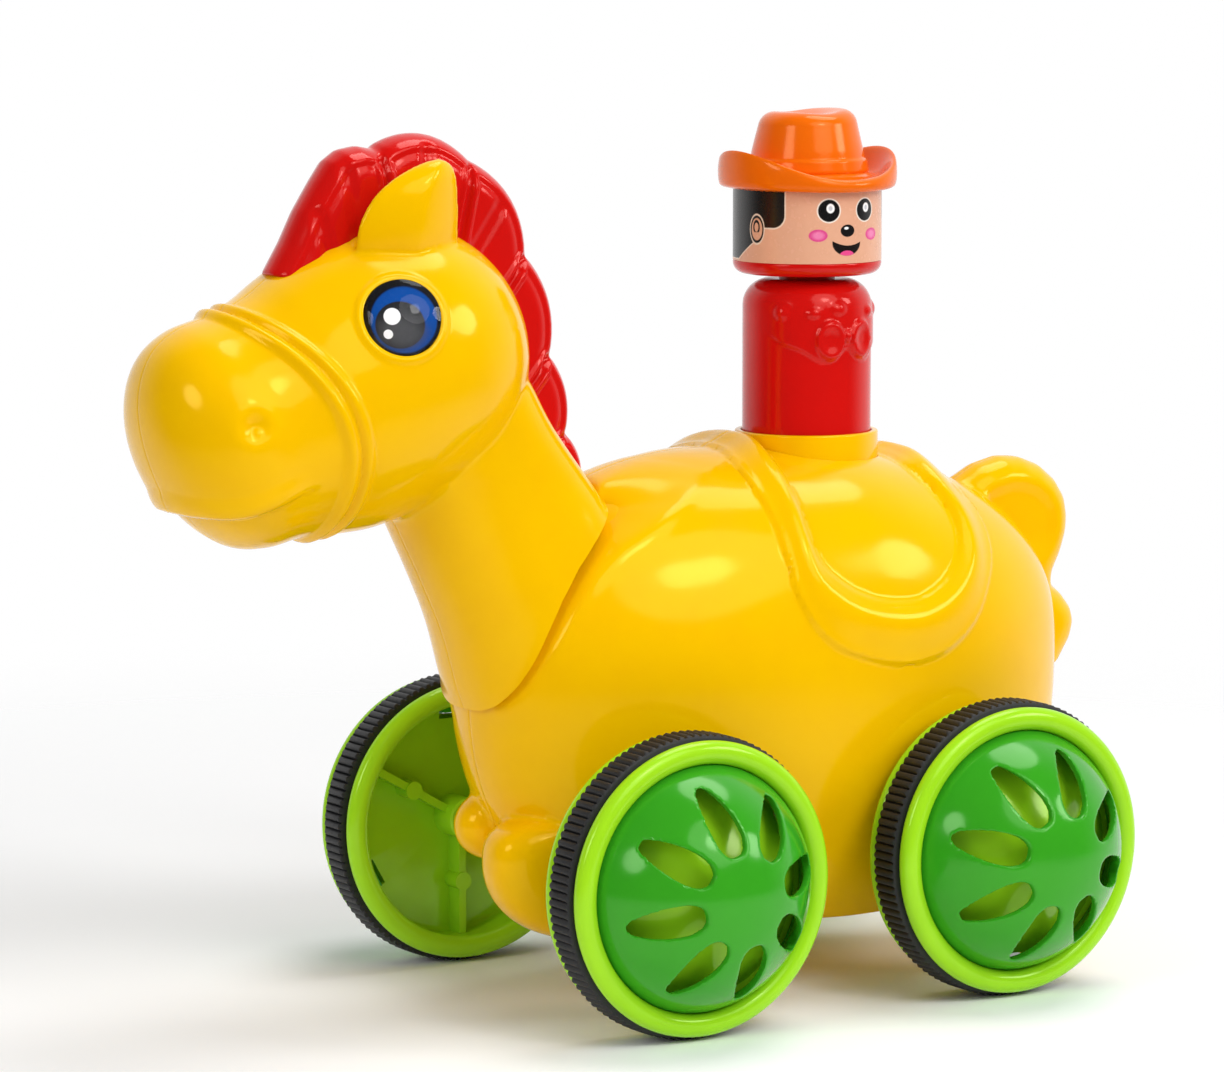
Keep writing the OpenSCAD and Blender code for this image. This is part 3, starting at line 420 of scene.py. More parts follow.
# horse's body: barrel, chest dome on the nodding axis, front legs and tail, in two halves
horse = {
    "middle": (-38, 66), "half": 36, "up": 43, "down": 60, "rear": 61.2, "front": 77.3, "belly": 14,
    "nod": (3, 66), "dome": 36.4, "domeHalf": 24.6, "rise": (1.4, -5, 30), "fall": (1.0, -64, 24),
    # the near leg stands, the far one is drawn up
    "legs": (((19.4, 9, 30.5), (20.8, 9.5, 9.3, 16.5, 0.62)), ((30, -6.5, 35.6), (8.2, 6.4, 7, 7.2, 1))),
    # side view of the barrel's front, which stops under the neck's skirt
    "recess": [(60, 55), (41.6, 57), (41.5, 62), (40, 65), (37.8, 69), (35.6, 73.5), (33, 79), (30, 85),
               (26, 91), (21.6, 95.6), (17.6, 99), (14.4, 101.4), (13, 103.5), (12.2, 106), (11, 120),
               (60, 120)],
    # crease of the barrel behind the skirt, from low to high; the skin slopes from it down to the dome
    "crease": [(56, 40.5), (61, 37.6), (66, 34.8), (73, 31.4), (81, 27.2), (88.3, 21.8), (93.2, 15.8),
               (97, 8.5), (103, -2), (108, -13), (116, -24)],
    "nape": (42.5, 13.5), "foot": 1.2, "sunk": 1.0, "crest": (0.5, 2.2), "chest": (-14, 56), "chestRounds": 5,
    # how square the barrel is: seen from above, along the back, along the belly, each behind and before
    "aboveSquare": (2.12, 2.3), "backSquare": (2.05, 3), "bellySquare": (2.8, 2.4), "domeSquare": 2.6,
    "hoofBroad": 0.55, "wall": 2, "cell": 0.65, "wallCell": 1.6, "softening": 7, "groove": 0.08,
}


def barrelReach(x, a, inset):
    # distance of the barrel's skin from its axis, a from straight up
    u = x - horse["middle"][0]
    end = 0 if u < 0 else 1
    u /= horse["front" if end else "rear"] - inset
    half, up, down = (max(0.01, (horse[size] - inset) * arc(u, horse[square][end])) for size, square in (
        ("half", "aboveSquare"), ("up", "backSquare"), ("down", "bellySquare")))
    for key, sign in (("rise", 1), ("fall", -1)):
        tall, at, reach = horse[key]
        up += sign * tall * hump(x - at, reach)
    power = 2.4 - 0.4 * min(1.0, max(0.0, (x - horse["middle"][0]) / 40))      # rounder towards the chest
    side, rise = abs(math.sin(a)) / half, abs(math.cos(a)) / (up if math.cos(a) > 0 else down)
    return (side ** power + rise ** power) ** (-1 / power)


def barrelSkin(inset):
    low = horse["middle"][0] - horse["rear"] + inset
    high = horse["middle"][0] + horse["front"] - inset

    def place(t, a):
        x = low + (high - low) * (1 - math.cos(math.pi * t)) / 2
        r = barrelReach(x, a, inset) if 0 < t < 1 else 0
        return x, r * math.sin(a), max(horse["belly"] + inset, horse["middle"][1] + r * math.cos(a))
    return place


def domeSkin(radius, half):
    def place(t, a):
        out = math.sin(math.pi * t)
        return (horse["nod"][0] + radius * out * math.cos(a),
                math.copysign(half * arc(out, horse["domeSquare"]), math.cos(math.pi * t)),
                horse["nod"][1] + radius * out * math.sin(a))
    return place


def legEgg(bm, at, size, inset):
    long, wide, up, down = (s - inset for s in size[:4])

    def place(t, a):
        square = size[4] if t < 0.5 else 1      # the knee is squarer than the hoof end
        out = math.sin(math.pi * t) ** square
        tall = math.copysign(abs(math.cos(math.pi * t)) ** square, 0.5 - t) * (up if t < 0.5 else down)
        box = 0.4 + 0.6 * size[4]
        ahead, aside = (math.copysign(abs(k) ** box, k) for k in (math.cos(a), math.sin(a)))
        full = out if t < 0.5 else out ** horse["hoofBroad"]
        return (at[0] + long * out * ahead, at[1] + wide * full * aside,
                max(horse["belly"] + inset, at[2] + tall))
    ball(bm, 56, 48, place)


# tail: a curled lock with a rolled edge, and a small lock below it
tail = {
    "edge": [(-79, 99.6), (-84, 102.2), (-90, 103.6), (-95, 103.2), (-100, 101.3), (-103.9, 98.2),
             (-106.4, 94.4), (-107.2, 90.2), (-106.9, 86.5), (-105.4, 82), (-103.4, 78.2),
             (-103.2, 75.8), (-105.8, 73.8), (-108.4, 70.6), (-109.2, 67.4), (-108.2, 63.6), (-105.6, 59.6)],
    "root": [(-95, 57), (-82, 70), (-72, 92)], "half": 6, "round": 6.5, "lip": (3.6, 7.6), "dish": 1.0,
    "cell": 0.6, "softening": 4, "dished": (-84, 80, 88),
}
tailEdge = list(zip(tail["edge"], tail["edge"][1:]))


def bodyRelief(p, normal):
    before, low, full = tail["dished"]
    if p.x < before and abs(p.y) < 8 and p.z > low:
        dish = tail["dish"] * ease(*tail["lip"], fromLines(p.x, p.z, tailEdge))
        return -dish * ease(low, full, p.z) * ease(0.2, 0.7, abs(normal.y))
    return saddleRelief(p)


# saddle: a raised, rolled edge round a teardrop panel; reach in mm at each angle from the front,
# on the barrel's side unrolled about the saddle's middle
saddle = {
    "x": -42, "perDegree": 0.663, "lip": 1.0, "crest": 2.1, "crestAt": 4.0, "outerLip": 0.75, "ridge": 1.0,
    "outer": [(0, 25), (11, 25.3), (34.6, 32.4), (45, 36.6), (52.2, 42.1), (60.1, 49.1), (70, 54.7),
              (79.3, 56.4), (89.2, 57.5), (99.5, 56.6), (109.3, 53), (118.6, 47.5), (126.8, 42.9),
              (133.8, 38.1), (142, 32.2), (156, 27.4), (180, 25)],
    "inner": [(0, 15), (15.6, 15.6), (39.8, 23.6), (51, 30.4), (56.1, 34.9), (62.6, 40.2), (71.1, 43),
              (78.9, 44.3), (87.3, 44.85), (94.6, 44.7), (104.2, 42.7), (112.4, 39.6), (117.6, 36.7),
              (121.8, 33.2), (126.8, 28.1), (132.3, 22.7), (143.4, 18.3), (180, 14.5)],
}


def saddleRelief(p):
    if not -102 < p.x < 12 or p.z < 40:
        return 0
    s = saddle["perDegree"] * math.degrees(math.atan2(abs(p.y), p.z - horse["middle"][1]))
    dx = p.x - saddle["x"]
    r, turn = math.hypot(dx, s), math.degrees(math.atan2(s, dx))
    inner, outer = along(saddle["inner"], turn)[0], along(saddle["outer"], turn)[0]
    into, width = r - inner, outer - inner
    if into < -0.7 or into > width + 0.8:
        return 0
    lip = saddle["lip"] * ease(-0.7, 0.9, into)
    crest = saddle["crest"] + saddle["ridge"] * (1 - ease(6, 24, s))      # fuller over the back
    rise = (crest - saddle["lip"]) * ease(0.3, saddle["crestAt"], into)
    fall = (crest - saddle["outerLip"]) * ease(saddle["crestAt"], width, into)
    return (lip + rise - fall) * (1 - ease(width, width + 0.8, into))


def barrelWith(inset, around, rings):
    # barrel cut back at the neck, with the dome that the neck's skirt slides on and the legs
    front = bmesh.new()
    plate(front, [(x - inset, z) for x, z in horse["recess"]], -60, 60)
    barrel = carve(shaped(around, rings, barrelSkin(inset)), front)
    ball(barrel, 128, 64, domeSkin(horse["dome"] - inset, horse["domeHalf"] - inset))
    for at, size in horse["legs"]:
        legEgg(barrel, at, size, inset)
    return barrel


# edge of the neck's skirt on the body, from the nape down to its tip, in the side view
skirt = [(15, 99.9), (17.2, 98.1), (20.9, 94.3), (24.8, 89.8), (29, 83.4), (32, 77.4), (34.4, 72),
         (36.9, 66.9), (38.2, 64.5), (39.2, 62.5), (40.2, 61), (41.2, 60.2), (42.6, 60.1)]
skirtEdge = list(zip(skirt, skirt[1:]))
skirtRows = [(z, x) for x, z in reversed(skirt)] + [(120, 9)]
creaseLine = [(x, z) for z, x in horse["crease"]]
creaseEdge = list(zip(creaseLine, creaseLine[1:]))


def sinkBeside(bm):
    # beside the neck's skirt the barrel slopes from its crease down to the dome
    tall, reach = horse["crest"]
    for v in bm.verts:
        x, y, z = v.co / mm
        if x < horse["chest"][0] or z < horse["chest"][1]:
            continue
        far = fromLines(x, z, skirtEdge) * (1 if x < along(skirtRows, z)[0] else -1)
        rho = math.hypot(x - horse["nod"][0], z - horse["nod"][1])
        deep = max(half * arc(min(1, rho / radius), horse["domeSquare"]) for radius, half in (
            (horse["dome"], horse["domeHalf"]), horse["nape"])) - horse["sunk"]
        up, gap = max(0, far - horse["foot"]), fromLines(x, z, creaseEdge)
        share = up / (up + gap + 1e-6) if x > along(horse["crease"], z)[0] else 1
        lift = tall * hump(gap, reach) * ease(66, 76, z) * (1 - ease(98, 106, z)) * ease(0.2, 0.8, share)
        if abs(y) > deep:
            v.co.y = math.copysign(deep + (abs(y) - deep) * share + lift, y) * mm


lock = bmesh.new()
plate(lock, tail["edge"] + tail["root"], -tail["half"], tail["half"])
lock = fuse(lock, tail["cell"], tail["softening"])
rounded(lock, tailEdge, tail["round"])
skin = barrelWith(0, 160, 120)
joinIn(skin, lock)
skin = fuse(skin, horse["cell"], horse["softening"])
sinkBeside(skin)
chestX, chestZ = (k * mm for k in horse["chest"])
soften(skin, [v for v in skin.verts if v.co.x > chestX and v.co.z > chestZ], horse["chestRounds"])
emboss(skin, bodyRelief)
inside = fuse(barrelWith(horse["wall"], 96, 72), horse["wallCell"], 2)
leftHalf = seamHalf(skin, inside.copy(), 1, horse["groove"])
rightHalf = seamHalf(skin, inside, -1, horse["groove"])
skin.free()
tell("body half", leftHalf)

# its openings: the rider's hole (x, radius, from z), axles, and screws in posts of the right half
fit = {"rider": (-41.5, 14.8, 89), "axles": ((16, 30), (-60, 30)), "axleHole": 2.3,
       "screws": ((-83, 52), (-16, 38), (26, 47), (-9, 92)), "post": 4.6, "postEnds": (-0.5, -11.5),
       "sink": 2.8, "seat": 9, "headSeat": 11}
holes = bmesh.new()
riderX, riderHole, riderFloor = fit["rider"]
rod(holes, (riderX, 0, riderFloor), (riderX, 0, 125), riderHole, 96)
for x, z in fit["axles"]:
    rod(holes, (x, -60, z), (x, 60, z), fit["axleHole"], 32)
leftHalf = carve(leftHalf, holes.copy())
rightHalf = carve(rightHalf, holes)
posts, sinks = bmesh.new(), bmesh.new()
for x, z in fit["screws"]:
    rod(posts, (x, fit["postEnds"][0], z), (x, fit["postEnds"][1], z), fit["post"], 40)
    rod(sinks, (x, -fit["seat"], z), (x, -60, z), fit["sink"], 40)
rightHalf = carve(rightHalf, posts, "UNION")
rightHalf = carve(rightHalf, sinks)
makePiece("bodyLeft", leftHalf, yellowPlastic, "body", "body_left_shell", 45)
makePiece("bodyRight", rightHalf, yellowPlastic, "body", "body_right_shell", 45)

# horse's head and neck in two halves, with the skirt that slides over the chest dome
head = {
    "at": (53, 132), "tilt": math.radians(21.8), "long": 83.5, "before": 0.29, "tall": 28, "wide": 24.5,
    # share of the length, half height and half width as shares, lift in mm
    "form": [(0, 0, 0, 0), (0.035, 0.43, 0.44, 0), (0.11, 0.72, 0.74, 0), (0.22, 0.92, 0.92, 0),
             (0.34, 0.99, 0.99, 0), (0.45, 1, 1, -0.3), (0.56, 0.955, 0.965, -0.5),
             (0.63, 0.9, 0.92, -0.3), (0.7, 0.85, 0.875, 0.6), (0.75, 0.84, 0.85, 1.2),
             (0.82, 0.84, 0.85, 1.6), (0.89, 0.77, 0.78, 2), (0.945, 0.61, 0.63, 2.4),
             (0.985, 0.36, 0.38, 2.6), (1, 0, 0, 2.8)],
    # front edge x z, back edge x z, half width, from the skull down
    "neck": [(0, 66, 122, 32, 130, 17), (0.2, 61, 110, 26, 119, 16.5), (0.4, 56, 98.8, 19.8, 110.5, 16.5),
             (0.6, 49.8, 86.2, 15.8, 105.4, 17.2), (0.8, 44.9, 74.8, 13.6, 101.4, 18.3),
             (1, 40.4, 58, 10, 94, 19.4)],
    "skirtOuter": (37.8, 26.0), "skirtInner": (36.8, 24.95), "flare": (62, 108), "flareRounds": 40,
    # ear from root to tip: x, y, z, half length, half thickness
    "ear": [(0, 58.5, 8.5, 148, 10.8, 4.2), (0.22, 58.7, 10, 153.5, 11.4, 4.8),
            (0.45, 58.5, 11, 158.5, 11, 4.9), (0.65, 57.7, 11.8, 163, 9.6, 4.4),
            (0.82, 56, 12.3, 166.6, 7.4, 3.6), (0.93, 54.2, 12.5, 169, 4.8, 2.6),
            (1, 52.8, 12.6, 170.6, 2, 1.5)],
    "wall": 2, "cell": 0.5, "wallCell": 1.5, "softening": 7, "groove": 0.06,
    "eye": (66, 21, 141), "eyeFacing": (0.36, 0.88, 0.3), "eyeHole": 7.65, "eyeDeep": 5.6,
    "screws": ((41, 103), (45, 118), (88, 119)),
}
headRows = [(math.acos(1 - 2 * share) / math.pi, *rest) for share, *rest in head["form"]]


def headAt(s, y, t):
    c, k = math.cos(head["tilt"]), math.sin(head["tilt"])
    return head["at"][0] + s * c + t * k, y, head["at"][1] - s * k + t * c


def onHead(p):
    # a place along the head, across it and above its axis
    c, k = math.cos(head["tilt"]), math.sin(head["tilt"])
    dx, dz = p.x - head["at"][0], p.z - head["at"][1]
    return dx * c - dz * k, p.y, dx * k + dz * c


def headSkin(inset):
    def place(t, a):
        tall, wide, lift = along(headRows, t)
        share = (1 - math.cos(math.pi * t)) / 2
        share = 0.5 + (share - 0.5) * (1 - 2 * inset / head["long"])
        return headAt((share - head["before"]) * head["long"],
                      max(0, wide * head["wide"] - inset) * math.sin(a),
                      lift + max(0, tall * head["tall"] - inset) * math.cos(a))
    return place


def neckSkin(inset):
    def place(t, a):
        fx, fz, bx, bz, wide = along(head["neck"], t)
        reach = Vector((fx - bx, fz - bz)) / 2
        reach *= 1 - inset / reach.length
        power = 2.3 if math.cos(a) > 0 else 3.6      # the nape is nearly flat
        size = (abs(math.cos(a)) ** power + abs(math.sin(a)) ** power) ** (-1 / power) * arc(2 * t - 1, 14)
        return ((fx + bx) / 2 + reach[0] * math.cos(a) * size, (wide - inset) * math.sin(a) * size,
                (fz + bz) / 2 + reach[1] * math.cos(a) * size)
    return place


def earSkin(side):
    def place(t, a):
        x, y, z, long, thick = along(head["ear"], t)
        size = arc(2 * t - 1, 6)
        ridge = arc(math.cos(a), 1.25)      # a ridge down the outside, from the tip
        return x + long * size * math.cos(a), side * (y + thick * size * math.copysign(ridge, math.sin(a))), z
    return place


# on the head: a double-rolled noseband, nostrils, the mouth and a ring round each eye; rolls are place,
# half width and height
features = {
    "bandAt": 27, "bandBow": 0.0135, "rolls": ((1.15, 2.0, 1.25), (-2.1, 1.7, 0.95)),
    "eyeRing": (8.4, 1.3, 0.5), "nostril": (44.8, 20.1, 6.8), "swelling": (1.0, 5.5), "dimple": (2.1, 2.5),
    "bead": (0.7, 0.95), "beadDown": 0.9,
    "mouth": [(33, -9.6), (36, -10), (48, -10.2), (51, -10), (54, -9.3), (56, -8.4), (58, -7.4),
              (60, -5.5), (62, -4)],
    "chin": (0.6, 0.06), "lipGroove": (0.5, 1.1), "lip": (0.7, 1.6, 3.6),
}


def headRelief(p, normal):
    s, y, t = onHead(p)
    lift = 0
    if s > 18:
        d = s - features["bandAt"] - features["bandBow"] * t * t
        for at, half, tall in features["rolls"]:
            lift += tall * hump(d - at, half)
        if s > 32 and d > 1.5:      # chin set back under the lip
            over = t - along(features["mouth"], s)[0]
            back, more = features["chin"]
            mouth = -(back + more * max(0, s - 40)) * ease(0, 1.2, -over)
            deep, half = features["lipGroove"]
            mouth -= deep * hump(over, half)
            tall, at, half = features["lip"]
            mouth += tall * hump(over - at, half) if over > 0 else 0
            lift += mouth * ease(34, 46, s)
        far = math.dist((s, abs(y), t), features["nostril"])
        toBead = math.dist((s, abs(y), t + features["beadDown"]), features["nostril"])
        for key, sign, away in (("swelling", 1, far), ("dimple", -1, far), ("bead", 1, toBead)):
            tall, reach = features[key]
            lift += sign * tall * math.exp(-(away / reach) ** 2) if far < 14 else 0
    facing = Vector(head["eyeFacing"]).normalized()
    away = Vector((p.x, abs(p.y), p.z)) - Vector(head["eye"])
    at, half, tall = features["eyeRing"]
    if abs(away.dot(facing)) < 7:
        lift += tall * hump((away - facing * away.dot(facing)).length - at, half)
    return lift


skull = bmesh.new()
ball(skull, 112, 96, headSkin(0))
ball(skull, 112, 80, neckSkin(0))
ball(skull, 144, 80, domeSkin(*head["skirtOuter"]))
for side in (1, -1):
    ball(skull, 40, 32, earSkin(side))
skull = fuse(skull, head["cell"], head["softening"])
flareX, flareZ = (k * mm for k in head["flare"])      # neck runs into the skirt without a crease
soften(skull, [v for v in skull.verts if v.co.z < flareZ and 0 < v.co.x < flareX], head["flareRounds"])
emboss(skull, headRelief)
hollow = bmesh.new()
ball(hollow, 72, 60, headSkin(head["wall"]))
ball(hollow, 64, 48, neckSkin(head["wall"]))
hollow = fuse(hollow, head["wallCell"], 2)
leftHead = seamHalf(skull, hollow, 1, head["groove"])
skull.free()
tell("head half", leftHead)
leftHead = carve(leftHead, shaped(128, 72, domeSkin(*head["skirtInner"])))
under = bmesh.new()
plate(under, [(5, 110), (11.6, 106)] + skirt + [(60, 60), (60, 0), (-60, 0), (-60, 110)], -60, 60)
leftHead = carve(leftHead, under)
eyeSpot, eyeFacing = Vector(head["eye"]), Vector(head["eyeFacing"]).normalized()
socket = bmesh.new()
rod(socket, eyeSpot - eyeFacing * head["eyeDeep"], eyeSpot + eyeFacing * 20, head["eyeHole"], 96)
leftHead = carve(leftHead, socket)
rightHead = flip(leftHead)
sinks = bmesh.new()
for x, z in head["screws"]:
    rod(sinks, (x, -fit["headSeat"], z), (x, -60, z), fit["sink"], 40)
rightHead = carve(rightHead, sinks)
makePiece("headLeft", leftHead, yellowPlastic, "head", "head_left_shell", 45)
makePiece("headRight", rightHead, yellowPlastic, "head", "head_right_shell", 45)

# mane: thick scalloped locks, each with a rolled rim round a sunk panel
mane = {
    "forelock": [(84, 148.6), (80.2, 154.8), (76.6, 160.2), (72.8, 166), (70.4, 169.4), (67.8, 171.2),
                 (64.5, 171.8)],
    "notches": [(61, 170.2), (41, 168), (29, 149.8), (23.5, 130), (20, 114), (16, 106)],
    "bulges": [3.9, 3.6, 2.9, 2.3, 1.2],
    "roots": [(24, 106), (32, 126), (42, 144), (58, 152), (76, 146)],
    "grooves": [((61, 170.2), (59, 152)), ((41, 168), (46, 146)), ((29, 149.8), (40, 136)),
                ((23.5, 130), (33, 119)), ((20, 114), (28, 107))],
    "flutes": [((75.5, 160), (72, 148)), ((69, 168), (66, 150)), ((51, 172), (53, 158)),
               ((35, 160), (42, 150))],
    "half": 6.6, "grow": 1.9, "growTip": (0.1, 0.1, 0.5, 0.5, 0.5, 0.5, 0.5), "round": 6, "rim": 2.6,
    "sunk": 0.7, "grooveDeep": 1.3, "grooveHalf": 1.3, "fluteDeep": 0.6, "fluteHalf": 2.4,
    "cell": 0.42, "softening": 5,
}
locks = list(mane["forelock"])
for (a, b), bulge in zip(zip(mane["notches"], mane["notches"][1:]), mane["bulges"]):
    across = Vector((b[1] - a[1], a[0] - b[0])).normalized()
    for k in range(10):
        t = k / 10
        out = 4 * bulge * t * (1 - t)
        locks.append((a[0] + (b[0] - a[0]) * t + across[0] * out, a[1] + (b[1] - a[1]) * t + across[1] * out))
locks.append(mane["notches"][-1])
outline = []
for k, (x, z) in enumerate(locks):      # room for the round edge, less at the forelock's tip
    (ax, az), (bx, bz) = locks[max(0, k - 1)], locks[min(len(locks) - 1, k + 1)]
    share = mane["growTip"][k] if k < len(mane["growTip"]) else 1
    across = Vector((bz - az, ax - bx)).normalized() * mane["grow"] * share
    outline.append((x + across[0], z + across[1]))
maneEdge = list(zip(outline, outline[1:]))


def maneRelief(p, normal):
    if abs(normal.y) < 0.4:
        return 0
    rim, groove, flute = (fromLines(p.x, p.z, lines) for lines in (maneEdge, mane["grooves"], mane["flutes"]))
    sunk = mane["sunk"] * ease(mane["rim"] - 0.5, mane["rim"] + 0.7, min(rim, groove + 1))
    sunk += mane["grooveDeep"] * hump(groove, mane["grooveHalf"])
    sunk += mane["fluteDeep"] * hump(flute, mane["fluteHalf"])
    return -sunk * ease(0.4, 0.8, abs(normal.y))


hair = bmesh.new()
plate(hair, outline + mane["roots"], -mane["half"], mane["half"])
hair = fuse(hair, mane["cell"], mane["softening"])
rounded(hair, maneEdge, mane["round"])
hair = fuse(hair, mane["cell"], mane["softening"])
emboss(hair, maneRelief)
makePiece("mane", hair, redPlastic, "head", "mane")

# rider: a round peg with a tied scarf, a red cup under the printed face, and a hat
rider = {
    "x": -41.5, "radius": 13.2, "low": 103, "shoulder": 143, "round": 5.5, "bore": 11.4, "boreTop": 137,
    "neck": 5.75, "neckTop": 147, "faces": -1,
}


def turned(profile):
    # a closed round form from its section, radius and height, pole to pole
    steps = [0]
    for a, b in zip(profile, profile[1:]):
        steps.append(steps[-1] + math.dist(a, b))

    def place(t, a):
        u = t * steps[-1]
        k = max(i for i in range(len(profile) - 1) if steps[i] <= u + 1e-9)
        f = min(1.0, (u - steps[k]) / max(1e-9, steps[k + 1] - steps[k]))
        r, z = (low + (high - low) * f for low, high in zip(profile[k], profile[k + 1]))
        return rider["x"] + r * math.cos(a), r * math.sin(a), z
    return place


def aboutRider(p):
    # angle from the face's middle, in degrees, and height
    return math.degrees(math.atan2(-(p.x - rider["x"]), p.y)) - rider["faces"], p.z


# neckerchief: its lower edge, a bow of two loops and a knot, and puffs above them; places are an angle
# from the face's middle and a height
scarf = {
    "loops": ((-12.5, 131.2), (20.2, 131.3)), "loop": (14, 4.2, 0.8, 0.55),
    "knot": (4, 131.9, 4.5, 1.6, 1.05), "puff": 0.6, "thick": 0.4,
    "puffs": ((-56, 136.8, 8.5, 1.9), (-27, 136.7, 8, 1.3), (-4, 137.5, 9, 1.7), (35, 136.7, 8, 1.3),
              (64, 136.8, 8.5, 1.9)),
    "low": [(-180, 134), (-110, 133.4), (-69, 132.2), (-54.8, 130.4), (-37.5, 129), (-20.6, 126.8),
            (-7, 127.2), (4, 129.4), (15, 127.2), (28.6, 126.8), (45.5, 129), (62.8, 130.4), (77, 132.2),
            (118, 133.4), (180, 134)],
}


def scarfRelief(p, normal):
    if math.hypot(p.x - rider["x"], p.y) < 12.5 or p.z < 120:
        return 0
    turn, z = aboutRider(p)

    def far(where, level, wide, high):
        return math.hypot((turn - where) / wide, (z - level) / high)
    low = along(scarf["low"], max(-180, min(180, turn)))[0]
    lift = scarf["thick"] * ease(low - 0.3, low + 0.3, z)
    lift *= (1 - ease(134, 140, z)) * (1 - ease(55, 80, abs(turn - scarf["knot"][0])))
    for where, level in scarf["loops"]:      # dished inside their rims
        wide, high, tall, dish = scarf["loop"]
        d = far(where, level, wide, high)
        lift += tall * (1 - ease(0.8, 1.02, d)) - dish * (1 - ease(0.2, 0.8, d))
    for puff in scarf["puffs"]:
        lift += scarf["puff"] * hump(far(*puff), 1) ** 0.6
    *knot, tall = scarf["knot"]
    d = far(*knot)
    return max(lift, scarf["thick"] + tall * hump(d, 1) ** 0.5) if d < 1 else lift


wide = rider["radius"]
pegForm = [(0, rider["boreTop"]), (rider["bore"], rider["boreTop"]), (rider["bore"], rider["low"]),
           (wide - 0.4, rider["low"]), (wide, rider["low"] + 0.4)]
pegForm += roundTurn(wide - rider["round"], rider["shoulder"] - rider["round"], rider["round"], 0, 90)
pegForm += [(rider["neck"], rider["shoulder"]), (rider["neck"], rider["neckTop"]), (0, rider["neckTop"])]
peg = shaped(176, 240, turned(pegForm))
emboss(peg, scarfRelief)
makePiece("riderPeg", peg, redPlastic, "rider", "rider_body", 50)

# rider's head: a red cup, and a printed film round it
face = {
    "radius": 15.2, "low": 144, "high": 163, "cupTop": 146.8, "cupRound": 2.4, "wrap": 0.4,
    "ground": ("#E9B091", "#E5A988"), "dotMm": 1.2, "gloss": (0.2, 0.32),
    # hair with a pale edge: a rounded corner at the temple, then lower behind the ear
    "hair": (("#F6DCC6", 0.3), ("#14110F", 0.0)), "temple": (16.0, 156.5, 2.5), "behind": 20.2,
    "nape": {"From Min": 20.6, "From Max": 26.3, "To Min": 151.2, "To Max": 147.4},
    # on both sides: ear with an outline, cheek paler in its middle, eye; each place from the middle,
    # height, half width, half height, softness and ink
    "pairs": ((20, 153.6, 2.016, 3.136, 0.0446, "#F6DCC6"), (20, 153.6, 1.8, 2.8, 0.05, "#1C1512"),
              (20, 153.6, 1.44, 2.24, 0.0625, "#E5A988"), (6.6, 152.55, 1.95, 1.25, 0.08, "#E0458C"),
              (6.6, 152.55, 1.209, 0.775, 0.484, "#F283B4"), (4.37, 157.55, 2.55, 2.5, 0.05, "#FBEFE2"),
              (4.37, 157.55, 2.3, 2.25, 0.05, "#121011")),
    "curl": (20.1, 154.0, 0.9, 1.5), "curlLow": 153.0,
    # glints of the eyes, nose and its glint
    "single": ((-4.07, 158, 0.85, 0.95, 0.12, "#FFFFFF"), (-4.07, 158, 0.42, 0.5, 0.3, "#C9CCD2"),
               (4.67, 158, 0.85, 0.95, 0.12, "#FFFFFF"), (4.67, 158, 0.42, 0.5, 0.3, "#C9CCD2"),
               (-0.2, 153.45, 1.65, 1.25, 0.06, "#121011"), (-0.5, 153.95, 0.5, 0.26, 0.3, "#FFFFFF")),
    # open smile under a curved upper edge, with a tongue
    "smile": (-0.3, 151.0, 3.35, 2.6), "lipCurve": -0.075, "lipAt": 150.45,
    "tongue": (-0.3, 148.5, 1.7, 0.95),
}
outside = face["radius"]
cupForm = [(0, face["low"]), (outside - face["cupRound"], face["low"])]
cupForm += roundTurn(outside - face["cupRound"], face["low"] + face["cupRound"], face["cupRound"], -90, 0)
cupForm += [(outside, face["cupTop"]), (outside - face["wrap"], face["cupTop"]),
            (outside - face["wrap"], face["high"]), (0, face["high"])]
makePiece("riderCup", shaped(96, 96, turned(cupForm)), redPlastic, "rider", "rider_head", 50)


